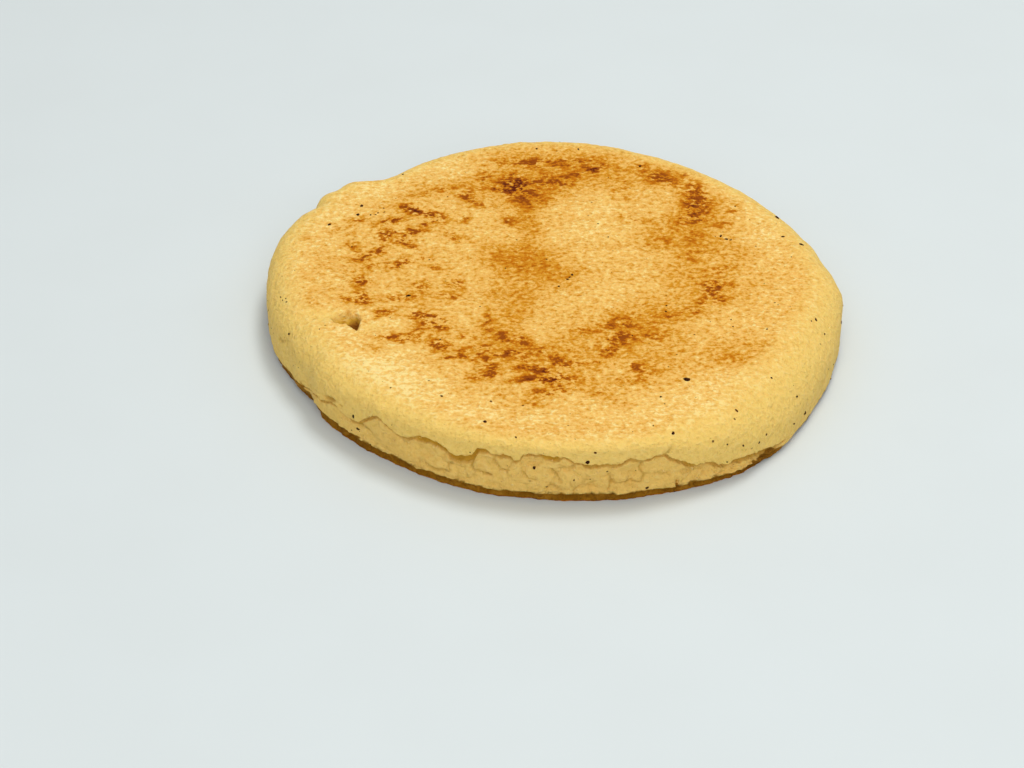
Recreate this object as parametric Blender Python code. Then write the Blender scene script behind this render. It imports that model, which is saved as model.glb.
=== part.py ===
"""Griddled corn cake: one thick round cake of cooked maize dough, resting on its flat underside.

Metres, +Z up. A clock is an angle in degrees seen from above, anticlockwise from +X; the front is 270.
"""

import math

import bmesh
import bpy
from mathutils import Matrix, Vector, noise

MM = 0.001

# The whole cake
MEAN_RADIUS = 79.1 * MM
THICKNESS = 18.2 * MM

# Hand-patted outline: (lobes round the rim, height of a lobe, clock of its crest)
LOBES = (
    (2, 2.4 * MM, 143.0),
    (3, 0.8 * MM, 56.0),
    (4, 0.8 * MM, 82.0),
    (5, 0.9 * MM, 13.0),
    (7, 0.4 * MM, 50.0),
)
# Pats on the rim: (clock, half width in degrees, how far it stands out)
PATS = (
    (149.5, 2.0, -0.9 * MM),
    (144.5, 2.6, 2.3 * MM),
    (138.5, 3.2, 2.7 * MM),
    (130.0, 6.0, -2.2 * MM),
    (30.0, 6.0, -0.3 * MM),
    (20.0, 4.0, -0.7 * MM),
    (10.0, 4.0, -1.8 * MM),
    (359.0, 2.5, 0.6 * MM),
    (200.0, 5.0, -1.1 * MM),
    (208.0, 4.0, -1.6 * MM),
    (290.0, 5.0, -0.3 * MM),
    (307.0, 3.5, 0.7 * MM),
    (318.0, 5.0, 0.5 * MM),
)

# Shoulder between top and wall: (clock, reach inwards, drop from the top)
SHOULDER = (
    (0.0, 9.5 * MM, 8.0 * MM),
    (40.0, 7.0 * MM, 6.0 * MM),
    (100.0, 6.5 * MM, 5.5 * MM),
    (150.0, 8.0 * MM, 7.0 * MM),
    (190.0, 9.5 * MM, 8.5 * MM),
    (215.0, 8.5 * MM, 7.0 * MM),
    (240.0, 6.0 * MM, 4.6 * MM),
    (258.0, 3.8 * MM, 2.2 * MM),
    (286.0, 3.8 * MM, 2.2 * MM),
    (300.0, 9.0 * MM, 7.5 * MM),
    (314.0, 14.5 * MM, 12.5 * MM),
    (338.0, 13.0 * MM, 11.0 * MM),
    (360.0, 9.5 * MM, 8.0 * MM),
)

# Crack under the overhanging top crust: (clock, height above the table)
CRACK = (
    (0.0, 5.7 * MM),
    (36.0, 5.7 * MM),
    (46.0, 7.2 * MM),
    (58.0, 10.2 * MM),
    (64.0, 8.7 * MM),
    (76.0, 11.7 * MM),
    (84.0, 10.4 * MM),
    (97.0, 12.2 * MM),
    (106.0, 9.6 * MM),
    (118.0, 10.8 * MM),
    (131.0, 7.7 * MM),
    (146.0, 5.7 * MM),
    (190.0, 6.7 * MM),
    (207.0, 6.0 * MM),
    (218.0, 9.6 * MM),
    (225.0, 8.2 * MM),
    (231.0, 13.4 * MM),
    (236.5, 11.4 * MM),
    (240.0, 11.6 * MM),
    (243.0, 13.6 * MM),
    (250.0, 11.0 * MM),
    (253.0, 11.8 * MM),
    (256.0, 15.0 * MM),
    (260.0, 13.8 * MM),
    (264.0, 15.0 * MM),
    (270.5, 14.6 * MM),
    (274.0, 12.9 * MM),
    (281.0, 12.1 * MM),
    (284.0, 13.6 * MM),
    (290.0, 13.4 * MM),
    (293.5, 10.1 * MM),
    (298.0, 8.3 * MM),
    (302.0, 6.0 * MM),
    (306.0, 6.4 * MM),
    (311.0, 4.8 * MM),
    (316.0, 3.2 * MM),
    (330.0, 3.7 * MM),
    (360.0, 5.7 * MM),
)
# How open the crack is round the rim: (clock, share of CRACK_DEPTH)
OPENING = (
    (0.0, 0.0),
    (44.0, 0.0),
    (54.0, 0.7),
    (90.0, 1.0),
    (120.0, 0.7),
    (134.0, 0.0),
    (210.0, 0.0),
    (217.0, 0.35),
    (228.0, 0.3),
    (236.0, 0.7),
    (246.0, 1.0),
    (290.0, 1.0),
    (304.0, 0.8),
    (318.0, 0.0),
    (360.0, 0.0),
)
CRACK_DEPTH = 1.8 * MM
CRACK_HALF_GAP = 0.5 * MM
OVERHANG = 0.7 * MM

# Foot of the wall: (set back from the wall, height)
FOOT = (
    (1.9 * MM, 0.0 * MM),
    (1.5 * MM, 0.8 * MM),
    (1.4 * MM, 2.0 * MM),
    (0.3 * MM, 2.7 * MM),
)
# How high the foot reaches round the rim: (clock, share of its usual height)
LIFT = (
    (0.0, 0.9),
    (170.0, 1.0),
    (190.0, 1.0),
    (200.0, 1.3),
    (207.0, 1.3),
    (213.0, 1.05),
    (240.0, 1.05),
    (280.0, 1.0),
    (310.0, 0.85),
    (360.0, 0.9),
)
FOOT_WAVER = 0.5 * MM
# Where the foot is tucked further in: (clock, half width in degrees, how far)
TUCKS = ((207.0, 6.0, 1.5 * MM),)

# Unevenness of the dough: (size of a lump, height of a lump)
WALL_LUMPS = (17.0 * MM, 0.35 * MM)
COBBLES = (6.5 * MM, 0.75 * MM)
TOP_LUMPS = (24.0 * MM, 0.35 * MM)

# Pockets in the skin: (clock, distance from the axis, height, half lengths along the rim, inwards and up)
POCKETS = (
    (201.5, 59.6 * MM, 17.8 * MM, 2.5 * MM, 2.9 * MM, 1.5 * MM),
    (204.0, 59.2 * MM, 17.4 * MM, 1.6 * MM, 1.2 * MM, 2.5 * MM),
    (218.4, 75.8 * MM, 10.1 * MM, 2.3 * MM, 1.5 * MM, 0.8 * MM),
    (196.5, 77.4 * MM, 11.6 * MM, 1.8 * MM, 1.0 * MM, 0.5 * MM),
    (292.7, 79.4 * MM, 0.8 * MM, 0.55 * MM, 3.2 * MM, 3.6 * MM),
)
# Shallow dent that runs out from the pit on top: (clock, distance from the axis, half width, depth)
DENTS = (
    (196.0, 65.0 * MM, 5.0 * MM, 0.45 * MM),
    (206.0, 55.5 * MM, 4.0 * MM, 0.35 * MM),
)

# How finely the surface is cut
COLUMNS = 160
BAND_ROWS = 4
UPPER_ROWS = 2
SHOULDER_ROWS = 6
TOP_RINGS = (0.95, 0.9, 0.85, 0.8, 0.74, 0.66, 0.54, 0.4, 0.25, 0.12)
UNDER_RINGS = (0.12, 0.5)
POCKET_DETAIL = 2

CAKE_COLOUR = (0.86, 0.62, 0.26, 1.0)
CAKE_ROUGHNESS = 0.72


def ease(share):
    """A share from 0 to 1 that starts and ends level."""
    return share * share * (3.0 - 2.0 * share)


def along(table, clock, column=1):
    """The value at a clock, from a table of hand-placed stations."""
    clock = clock % 360.0
    for before, after in zip(table, table[1:]):
        if clock <= after[0]:
            share = (clock - before[0]) / (after[0] - before[0])
            return before[column] + (after[column] - before[column]) * ease(share)
    return table[-1][column]


def apart(clock, other):
    """Degrees between two clocks, the short way round."""
    return (clock - other + 180.0) % 360.0 - 180.0


def outline(clock):
    """Distance from the axis to the wall."""
    radius = MEAN_RADIUS
    for count, height, crest in LOBES:
        radius += height * math.cos(count * math.radians(clock - crest))
    for centre, half_width, height in PATS:
        radius += height * math.exp(-((apart(clock, centre) / half_width) ** 2))
    return radius


def spot(clock, radius, height):
    """A point from its clock, distance from the axis and height."""
    angle = math.radians(clock)
    return Vector((radius * math.cos(angle), radius * math.sin(angle), height))


def lumps(point, kind):
    """Soft unevenness of the dough at a point."""
    size, height = kind
    return height * noise.noise(point / size)


def foot_top(clock, crack):
    """Height of the foot, which stays below the crack."""
    return min(FOOT[-1][1] * along(LIFT, clock), 0.65 * crack)


def foot_rows(clock, radius, top):
    """The rounded foot, from the flat underside to the wall."""
    squeeze = top / FOOT[-1][1]
    shift = FOOT_WAVER * noise.noise(spot(clock, 1.0, 0.0) * 7.0)
    for centre, half_width, tuck in TUCKS:
        shift -= tuck * math.exp(-((apart(clock, centre) / half_width) ** 2))
    return [(radius - inset + shift, height * squeeze) for inset, height in FOOT]


def band_rows(clock, radius, low, crack, opening):
    """The cobbled band between the foot and the crack."""
    high = crack - CRACK_HALF_GAP
    rows = []
    for i in range(1, BAND_ROWS + 1):
        height = low + (high - low) * i / BAND_ROWS
        cobble = opening * lumps(spot(clock, radius, height), COBBLES)
        set_back = opening * OVERHANG * i / BAND_ROWS
        rows.append((radius - set_back + cobble, height))
    return rows


def crack_rows(radius, crack, opening):
    """The bottom of the crack and its overhanging upper lip."""
    lip = radius + 0.3 * OVERHANG * opening
    return [
        (radius - CRACK_DEPTH * opening, crack),
        (lip - 0.35 * OVERHANG * opening, crack + 0.6 * CRACK_HALF_GAP),
        (lip, crack + 1.6 * CRACK_HALF_GAP),
    ]


def shoulder_rows(radius, start, reach):
    """The rounded shoulder, from the wall to the top."""
    rows = []
    for i in range(1, SHOULDER_ROWS + 1):
        turn = 0.5 * math.pi * i / SHOULDER_ROWS
        inset = reach * (1.0 - math.cos(turn))
        rise = (THICKNESS - start) * math.sin(turn)
        rows.append((radius - inset, start + rise))
    return rows


def section(clock):
    """The wall's profile at a clock, from the underside to the top."""
    radius = outline(clock)
    radius += lumps(spot(clock, radius, 0.0), WALL_LUMPS)
    crack = along(CRACK, clock)
    opening = along(OPENING, clock)
    reach = along(SHOULDER, clock, 1)
    above = crack + 2.0 * CRACK_HALF_GAP
    start = max(THICKNESS - along(SHOULDER, clock, 2), above + CRACK_HALF_GAP)
    low = foot_top(clock, crack)
    rows = foot_rows(clock, radius, low)
    rows += band_rows(clock, radius, low, crack, opening)
    rows += crack_rows(radius, crack, opening)
    for i in range(1, UPPER_ROWS + 1):
        rows.append((radius, above + (start - above) * i / UPPER_ROWS))
    return rows + shoulder_rows(radius, start, reach)


def top_height(x, y, share):
    """Height of the top; the lumps fade out at the shoulder."""
    height = THICKNESS + (1.0 - share) * lumps(Vector((x, y, 0.0)), TOP_LUMPS)
    for clock, radius, half_width, depth in DENTS:
        centre = spot(clock, radius, 0.0)
        height -= depth * math.exp(-((Vector((x, y, 0.0)) - centre).length / half_width) ** 2)
    return height


def column_points(clock):
    """Every point of one column, from the middle of the underside to the middle of the top."""
    rows = section(clock)
    foot = rows[0][0]
    brow = rows[-1][0]
    points = [spot(clock, foot * share, 0.0) for share in UNDER_RINGS]
    points += [spot(clock, radius, height) for radius, height in rows]
    for share in TOP_RINGS:
        point = spot(clock, brow * share, 0.0)
        point.z = top_height(point.x, point.y, share)
        points.append(point)
    return points


def cake_mesh():
    """The closed skin of the cake."""
    work = bmesh.new()
    columns = []
    for i in range(COLUMNS):
        points = column_points(360.0 * i / COLUMNS)
        columns.append([work.verts.new(point) for point in points])
    below = work.verts.new((0.0, 0.0, 0.0))
    above = work.verts.new((0.0, 0.0, top_height(0.0, 0.0, 0.0)))
    for left, right in zip(columns, columns[1:] + columns[:1]):
        work.faces.new((below, right[0], left[0]))
        work.faces.new((above, left[-1], right[-1]))
        for j in range(len(left) - 1):
            work.faces.new((left[j], right[j], right[j + 1], left[j + 1]))
    bmesh.ops.triangulate(work, faces=work.faces[:])
    bmesh.ops.recalc_face_normals(work, faces=work.faces[:])
    return work


def pocket_object(index, pocket):
    """A lumpy pebble that cuts one pocket."""
    clock, radius, height, half_along, half_in, half_up = pocket
    work = bmesh.new()
    bmesh.ops.create_icosphere(work, subdivisions=POCKET_DETAIL, radius=1.0)
    for vert in work.verts:
        vert.co *= 1.0 + 0.25 * noise.noise(vert.co * 1.3 + Vector((index, 0.0, 0.0)))
    size = Matrix.Diagonal((half_in, half_along, half_up, 1.0))
    turn = Matrix.Rotation(math.radians(clock), 4, "Z")
    place = Matrix.Translation(spot(clock, radius, height))
    bmesh.ops.transform(work, matrix=place @ turn @ size, verts=work.verts[:])
    return mesh_object(f"pocket_{index}", work)


def mesh_object(name, work):
    """A scene object from a finished bmesh."""
    mesh = bpy.data.meshes.new(name)
    work.to_mesh(mesh)
    work.free()
    item = bpy.data.objects.new(name, mesh)
    bpy.context.scene.collection.objects.link(item)
    return item


def cut(body, tool):
    """Takes the tool's space out of the body."""
    modifier = body.modifiers.new(tool.name, "BOOLEAN")
    modifier.operation = "DIFFERENCE"
    modifier.solver = "EXACT"
    modifier.object = tool
    graph = bpy.context.evaluated_depsgraph_get()
    mesh = bpy.data.meshes.new_from_object(body.evaluated_get(graph))
    body.modifiers.clear()
    body.data = mesh
    bpy.data.objects.remove(tool, do_unlink=True)


def centre_on_axis(item):
    """Puts the middle of the cake's box over the origin and its underside on the table."""
    spots = [vert.co for vert in item.data.vertices]
    low = Vector([min(point[k] for point in spots) for k in range(3)])
    high = Vector([max(point[k] for point in spots) for k in range(3)])
    middle = (low + high) / 2.0
    item.data.transform(Matrix.Translation((-middle.x, -middle.y, -low.z)))


def crust_material():
    """Pale griddled maize crust."""
    material = bpy.data.materials.new("griddled_maize_crust")
    material.use_nodes = True
    shader = material.node_tree.nodes["Principled BSDF"]
    shader.inputs["Base Color"].default_value = CAKE_COLOUR
    shader.inputs["Roughness"].default_value = CAKE_ROUGHNESS
    shader.inputs["Metallic"].default_value = 0.0
    return material


def clear_scene():
    """Removes whatever the scene starts with."""
    for item in list(bpy.data.objects):
        bpy.data.objects.remove(item, do_unlink=True)


def build():
    """Builds the cake."""
    clear_scene()
    cake = mesh_object("arepa", cake_mesh())
    for index, pocket in enumerate(POCKETS):
        cut(cake, pocket_object(index, pocket))
    centre_on_axis(cake)
    cake.data.materials.clear()
    cake.data.materials.append(crust_material())


build()
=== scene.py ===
"""Griddled corn cake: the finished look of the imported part.

A thick hand-patted maize cake, toasted on a griddle. Metres, +Z up. A clock is an angle in degrees seen
from above, anticlockwise from +X; the front is 270. The tables are in degrees and millimetres.
"""

import math
import random

import bmesh
import bpy
import numpy as np
from mathutils import Matrix, Vector, noise
from mathutils.bvhtree import BVHTree


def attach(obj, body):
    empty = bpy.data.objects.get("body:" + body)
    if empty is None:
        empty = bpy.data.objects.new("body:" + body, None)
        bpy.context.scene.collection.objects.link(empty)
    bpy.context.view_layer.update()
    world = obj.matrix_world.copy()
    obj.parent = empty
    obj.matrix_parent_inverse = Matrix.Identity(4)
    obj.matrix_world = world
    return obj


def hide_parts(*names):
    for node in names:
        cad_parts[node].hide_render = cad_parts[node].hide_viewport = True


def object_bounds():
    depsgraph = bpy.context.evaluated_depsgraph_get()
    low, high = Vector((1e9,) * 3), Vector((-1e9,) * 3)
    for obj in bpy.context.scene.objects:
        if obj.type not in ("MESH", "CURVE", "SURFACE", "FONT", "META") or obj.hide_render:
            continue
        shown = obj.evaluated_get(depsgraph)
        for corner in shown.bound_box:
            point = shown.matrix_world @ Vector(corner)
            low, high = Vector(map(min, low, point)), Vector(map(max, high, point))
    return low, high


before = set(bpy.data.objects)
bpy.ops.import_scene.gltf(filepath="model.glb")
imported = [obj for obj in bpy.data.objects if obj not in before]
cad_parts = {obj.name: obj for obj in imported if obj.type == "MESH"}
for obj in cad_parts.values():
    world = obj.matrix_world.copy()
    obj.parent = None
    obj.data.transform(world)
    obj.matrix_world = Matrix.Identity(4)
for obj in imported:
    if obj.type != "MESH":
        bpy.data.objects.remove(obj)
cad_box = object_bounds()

bl_info = {
    "name": "Griddled Corn Cake",
    "version": (1, 1, 0),
    "blender": (4, 5, 0),
    "location": "3D View > Sidebar > Corn Cake",
    "description": "Builds a thick griddled maize cake with its toasted crust, bran specks and crumbs",
    "category": "Add Mesh",
}

MM = 0.001
# Farther than anything on the cake
FAR = 999.0

# ---------------------------------------------------------------- form, shared with the solid

# Hand-patted outline: (lobes round the rim, height of a lobe, clock of its crest)
LOBES = ((2, 2.4, 143), (3, 0.8, 56), (4, 0.8, 82), (5, 0.9, 13), (7, 0.4, 50))
# Pats on the rim: (clock, half width in degrees, how far it stands out)
PATS = (
    (149.5, 2, -0.9), (144.5, 2.6, 2.3), (138.5, 3.2, 2.7), (130, 6, -2.2), (30, 6, -0.3), (20, 4, -0.7),
    (10, 4, -0.9), (359, 2.5, 0.6), (200, 5, -1.1), (208, 4, -1.6), (290, 5, -0.3), (307, 3.5, 0.7),
    (318, 5, 0.5),
)
# Shoulder between top and wall: (clock, reach inwards, drop from the top)
SHOULDER = (
    (0, 9.5, 8), (40, 7, 6), (100, 6.5, 5.5), (150, 8, 7), (190, 9.5, 8.5), (215, 8.5, 7), (240, 6, 4.6),
    (258, 3.8, 2.2), (286, 3.8, 2.2), (300, 9, 7.5), (314, 14.5, 12.5), (338, 13, 11), (360, 9.5, 8),
)
# Unevenness of the dough: (size of a lump, height of a lump)
WALL_LUMPS = (17, 0.35)
TOP_LUMPS = (24, 0.35)
# Foot of the wall: (set back from the wall, height, lean of the surface)
FOOT = (
    (1.1, 0, -90), (1.2, 0.35, -5), (1.4, 0.8, -5), (1.5, 1.4, -5), (1.4, 2, -20), (1, 2.4, -50),
    (0.3, 2.7, -1),
)
# How high the foot reaches round the rim: (clock, share of its usual height)
LIFT = (
    (0, 0.8), (170, 1), (190, 1), (200, 1.3), (213, 1.4), (219, 1.4), (228, 1.15), (240, 1.05), (280, 1),
    (306, 0.85), (318, 0.5), (340, 0.5), (360, 0.8),
)
# Waver of the foot: (how often round the rim, how far), and its fray: (size, how far)
FOOT_WAVER = (7, 0.5)
FOOT_FRAY = (2, 0.35)
# Unevenness of the foot's upper edge: (bumps to each turn of the rim, height)
FOOT_EDGE = ((9, 0.5), (34, 0.22))
# Where the foot is tucked further in: (clock, half width in degrees, how far)
TUCKS = ((207, 6, 0.5),)
# The foot stays under this share of the band's height, and the top crust is at least this thick
FOOT_LIMIT = 0.8
LEAST_CRUST = 0.5

# ---------------------------------------------------------------- the torn band

# Lower edge of the top crust: (clock, height above the table)
CRACK = (
    (0, 5.7), (36, 5.7), (41, 6.8), (46, 7.2), (49, 8.8), (52, 8.2), (55.5, 10.6), (59, 10.2), (61.5, 8.6),
    (65, 8.4), (68, 10.6), (71, 10), (74, 12.2), (77.5, 11.8), (79.5, 10.2), (84, 10.5), (87, 9.8),
    (90.5, 12), (94, 11.6), (97, 12.6), (100.5, 11.8), (102, 9.8), (107, 9.6), (109.5, 10.8), (113, 10.4),
    (118, 11.2), (121, 9.4), (125.5, 9.2), (129, 7.6), (135, 7.4), (140, 6), (146, 5.7), (190, 6.2),
    (200, 3.8), (204.4, 3.9), (207, 4.7), (210.4, 6.3), (213.9, 8), (214.8, 7.5), (218.4, 9.5), (220.4, 10),
    (222.5, 8.5), (224.5, 7.9), (227.1, 8.8), (228.8, 11.1), (230.7, 13.2), (232.3, 13.8), (233.9, 12.9),
    (236.6, 11.4), (237.9, 10.8), (239.8, 11.5), (241.1, 12.5), (242.8, 13.7), (245, 13.5), (247.2, 13),
    (248.1, 12.1), (249.3, 11.1), (250.8, 11), (252.2, 11.3), (253.6, 12.1), (254.2, 13.8), (255.2, 15),
    (256.4, 15.1), (257.6, 13.6), (258.7, 13.6), (259.9, 14.2), (261.2, 13.8), (261.9, 12.4), (262.8, 13),
    (263.6, 15.1), (267.6, 15.1), (270.5, 14.7), (272.2, 14.1), (273.1, 12.9), (275.9, 12.5), (278.8, 12.4),
    (281.7, 12.1), (282.4, 13.3), (283.5, 13.8), (285, 13.2), (285.7, 12.4), (286.5, 13), (289.5, 13.6),
    (290.6, 12.8), (292, 11.2), (292.8, 10.4), (294.5, 9.3), (296.4, 8.3), (299, 8.2), (300.5, 6.5),
    (302.2, 5.7), (303.4, 6.3), (306.9, 6.2), (309.3, 5.2), (311.4, 4.7), (314.5, 3.4), (316.1, 3.2),
    (330, 3.7), (360, 5.7),
)
# How far the crack gapes under that edge: (clock, opening)
GAPE = (
    (0, 0), (44, 0), (50, 0.5), (60, 0.5), (66, 1.1), (73, 1.4), (77, 0.6), (87, 0.5), (91, 1.7), (98, 1.3),
    (101, 0.5), (108, 0.5), (112, 1.2), (119, 0.9), (124, 0.5), (134, 0), (200, 0), (205, 0.25), (216, 0.4),
    (224, 0.4), (230, 0.5), (237, 0.4), (240.8, 0.5), (242, 1.6), (245, 1.5), (248.2, 1.3), (249.2, 1.9),
    (253.4, 1.8), (254.6, 1.2), (256.3, 1.1), (257, 0.4), (258.6, 0.4), (259.4, 0.9), (261.2, 0.8),
    (263, 0.6), (266.4, 0.6), (267.4, 1.3), (270, 1.2), (270.8, 0.35), (274.3, 0.35), (275.2, 0.95),
    (277.2, 0.9), (278, 0.75), (282, 0.7), (283, 0.5), (293, 0.5), (294.8, 1), (297.2, 0.9), (298.2, 0.5),
    (303.2, 0.6), (304.5, 1), (309, 1.1), (313, 1.2), (316, 0.7), (319, 0), (360, 0),
)
# How far the band is set back under the top crust: (clock, depth)
SET_BACK = (
    (0, 0), (44, 0), (54, 0.5), (66, 0.6), (92, 0.9), (120, 0.6), (134, 0), (210, 0), (218, 0.15),
    (230, 0.3), (240, 0.45), (246, 0.75), (254, 0.7), (258, 0.4), (272, 0.5), (284, 0.45), (292, 0.6),
    (297, 1.2), (313, 1.3), (318, 0), (360, 0),
)
# How torn and crumbly the band is: (clock, share)
TEARING = (
    (0, 0.1), (40, 0.2), (50, 0.85), (62, 1), (120, 1), (134, 0.5), (150, 0.12), (190, 0.12), (204, 0.3),
    (216, 0.45), (228, 0.7), (238, 0.95), (250, 1), (298, 1), (312, 0.8), (319, 0.2), (340, 0.1),
    (360, 0.1),
)
# Share of the set-back where the band meets the foot
BAND_START = 0.35
# Section through the crack, bottom to top:
# (rise in gapes, rise in millimetres, share of the set-back, share of the crack's depth, shade)
CRACK_SECTION = (
    (-1, -0.60, 1, -0.05, 0),
    (-1, -0.28, 1, 0, 0.15),
    (-1, -0.04, 1, 0.22, 0.55),
    (-0.9, 0, 1, 0.6, 0.9),
    (-0.7, 0, 1, 0.92, 1),
    (-0.42, 0, 1, 1, 1),
    (-0.14, 0, 0.9, 0.7, 1),
    (0, 0, 0.45, 0.12, 0.6),
    (0, 0.16, 0, -0.08, 0.1),
    (0, 0.50, 0, -0.15, 0),
    (0, 0.95, 0, -0.13, 0),
)
# Depth of the crack: (at no gape, for each millimetre of gape)
CRACK_DEPTH = (0.5, 0.6)
# Room that an open crack takes besides its gape: (always, for the set-back, for the depth)
CRACK_ROOM = (0.2, 0.7, 0.35)
# Gapes from which a crack is open and from which its moist inside is painted in deep shade, and the shade
# of a narrow one
OPEN_GAPE = 0.3
MOIST_SHADE_GAPE = 1.3
NARROW_SHADE = 0.6
# How torn the underside of the lip is
LIP_TEARING = 0.25
# Span of the section where there is no crack, so that its rows stay apart
SHUT_SPAN = 0.7
# Raggedness of the torn edge: (size, height)
RAGGED = (1, 0.65)
# Splits in the band: (depth, (clock, height), (clock, height), ...)
SPLITS = (
    (0.9, (225.1, 7.7), (226.6, 7.6), (228.8, 7.1), (229.9, 6.8)),
    (0.45, (221.6, 7.9), (223.3, 8.1), (225.1, 8.3)),
    (0.45, (236.9, 10.2), (238.2, 9.1), (239.7, 8.9)),
    (0.4, (230.5, 3.9), (232, 3.9), (233.6, 4)),
    (0.8, (243.4, 4.6), (245, 4.1), (246.8, 4), (248.9, 5.3)),
    (0.7, (250, 10.2), (250, 8.8), (248.7, 7), (248.2, 5.7)),
    (0.9, (253.2, 11.1), (253.4, 7.5), (254.3, 7.2), (255.4, 6.5), (256.5, 6.8), (257.1, 6.3)),
    (0.7, (257.8, 12.6), (257.8, 11), (259, 8.7), (260.6, 8.6), (261.1, 10.2), (261.5, 12)),
    (0.55, (260.6, 8.6), (260.8, 6.3)),
    (0.75, (263.1, 8.3), (264.4, 7.1), (265.7, 6.6)),
    (0.85, (268.9, 10.2), (270, 8.4), (270.4, 7)),
    (0.65, (272.4, 6.8), (272.8, 5)),
    (0.7, (270.4, 10.6), (271.9, 10.9), (273.3, 11.6), (274, 12.6)),
    (0.75, (279.5, 7.9), (280.3, 6.7), (279.9, 5.1), (279.5, 3.4)),
    (0.75, (279.9, 5.8), (281.6, 5.6), (283.7, 5.8), (285.7, 5.4)),
    (0.85, (285.2, 12.5), (285.6, 9.3), (286.2, 7.7), (285.8, 6.2)),
    (0.6, (286.2, 7.7), (288.1, 7.6), (290, 7), (291.4, 6.2)),
    (0.7, (289.5, 13.6), (290.3, 14.3), (290.9, 14.9)),
    (0.45, (281.9, 8.7), (283.3, 9.1), (284.9, 8.3)),
    (0.45, (294.8, 8.1), (296.9, 6.5)),
    (0.4, (266.7, 4.4), (270.4, 4.1), (274.1, 4.7), (277.9, 4.1)),
    (0.4, (200.5, 11.3), (203.4, 11), (205.5, 10.1)),
    (0.5, (206.3, 6.4), (209.2, 6.8), (213.7, 9.2)),
    (0.8, (194.4, 10.5), (196.8, 11.8), (198.3, 12.6)),
    (0.5, (50, 6.2), (52.2, 4.8), (55, 5.1)),
    (0.8, (59, 8.6), (60.2, 6.6), (62, 6), (63.1, 4)),
    (0.6, (66.4, 5.4), (68.8, 6.1), (71, 5.6)),
    (0.8, (73.2, 10.2), (74.6, 8.2), (74, 5.8), (75.8, 4.2)),
    (0.6, (76.2, 7.4), (78.6, 8), (80.4, 6.9), (82.6, 7.3)),
    (0.8, (86.4, 8.6), (87.8, 6.6), (87.2, 3.6)),
    (0.6, (90.2, 5.4), (92.6, 4.7), (95.8, 5.5)),
    (0.8, (96.8, 10.4), (98.2, 8.2), (100.6, 7.5), (102, 5.4)),
    (0.5, (104.2, 6.6), (106.8, 6), (109, 6.8)),
    (0.8, (110.4, 8.8), (111.6, 6.4), (110.8, 4)),
    (0.6, (114, 5.6), (117, 6.4), (119.4, 5.6)),
    (0.7, (121, 7.8), (122.6, 6), (125.4, 5.4)),
    (0.45, (136, 6.6), (139.4, 5.4), (143, 5.8)),
    (0.4, (166, 7.6), (170, 6.8), (174, 7.1)),
    (0.5, (18, 6.4), (21.4, 5.6), (24.6, 6)),
    (0.4, (333, 6.8), (336.2, 6.2), (339, 6.6)),
)
SPLIT_HALF_WIDTH = 0.46
# How far to each side of its middle a split may run, in degrees
SPLIT_REACH = 7
# Pocks in the wall: (clock, height, half length, half height, slope upwards, depth)
WALL_POCKS = (
    (218.1, 10.2, 2.7, 0.8, 0.28, 1.7), (221.9, 10.7, 0.9, 0.4, 0, 0.7), (194.3, 10.2, 1, 0.4, 0.3, 0.5),
    (292.7, 0.9, 0.5, 3.2, 0, 2.4), (205, 4.2, 1.5, 0.4, 0, 0.5), (256.9, 6.4, 0.8, 0.5, 0, 1.2),
    (79, 14.2, 1.8, 0.6, 0.2, 1.1), (152, 8.4, 1.3, 0.5, -0.2, 0.9), (24, 9.6, 1, 0.5, 0, 0.7),
)
# Waver of a pock's edge: (size, how far across, share of that upwards), and how square it is
POCK_WAVER = (1.6, 0.35, 0.6)
POCK_STEEPNESS = 2
# Lumps of the torn band, coarse and fine: (width, height, joint between them, swelling, step in or out)
BAND_LUMPS = ((7.4, 5.4, 0.6, 1, 1), (2.9, 2.3, 0.05, 0.2, 0.25))
# In widths of a lump: size and reach of its unevenness, width of a joint; and how round a lump is
LUMP_WARP = (0.6, 0.2)
LUMP_JOINT = 0.13
LUMP_ROUNDNESS = 1.4
# The lumps come and go along the band: (size, middle, swing, least)
LUMP_PATCHES = (8, 0.55, 0.9, 0.15)
# Relief fades by this much in the shade of a crack
CREVICE_CALM = 0.8
# No hollow is felt at this many times its half width
NO_HOLLOW = 9
# The band swells in lumps where it is torn by more than this share
LUMPY_TEARING = 0.05
# Wander of what was listed: (size, how far, octaves, shift of the second noise)
SPLIT_WANDER = (1.9, 0.55, 2, 9)
PIT_WANDER = (1.6, 0.45, 3, 6)
TOAST_WANDER = (5, 1.2, 1, 7)

# ---------------------------------------------------------------- finer form of the skin

# Dents on top: (x, y, half length, half width, depth, steepness)
TOP_HOLLOWS = (
    (-61, -19.2, 5.5, 3.2, 0.75, 1.2), (-60.5, -20.4, 1.3, 1.3, -0.3, 1), (-49.2, -24.8, 3.5, 2, 0.3, 1),
)
# Middle of the pit, and how far round it the mesh is cut finer
PIT = (-56, -21.8, 6.5)
# Rim of the pit, how far inside it the pit's wall starts and ends, its deep corner (x, y, reach), depth of
# its floor and corner, and shade of its floor, corner and roughness
PIT_RIM = (
    (-60.2, -22.6), (-57.8, -24), (-56.4, -23.1), (-55.2, -24.9), (-53.4, -27.2), (-52.8, -24.3),
    (-52.6, -20.6), (-54, -18.2), (-55.4, -18.9), (-56.6, -17), (-58.4, -17.6), (-60.6, -19.4),
)
PIT_WALL = (-0.315, 0.585)
PIT_CORNER = (-54.2, -22, 2.6)
PIT_DEPTH = (1.6, 1.6)
PIT_SHADE = (0.85, 1.3, 0.5)
# Small flap of dough on the back left of the shoulder: (clock, height, half width, how far it stands out)
FLAP = (146.7, 16.7, 1.3, 1)
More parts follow.
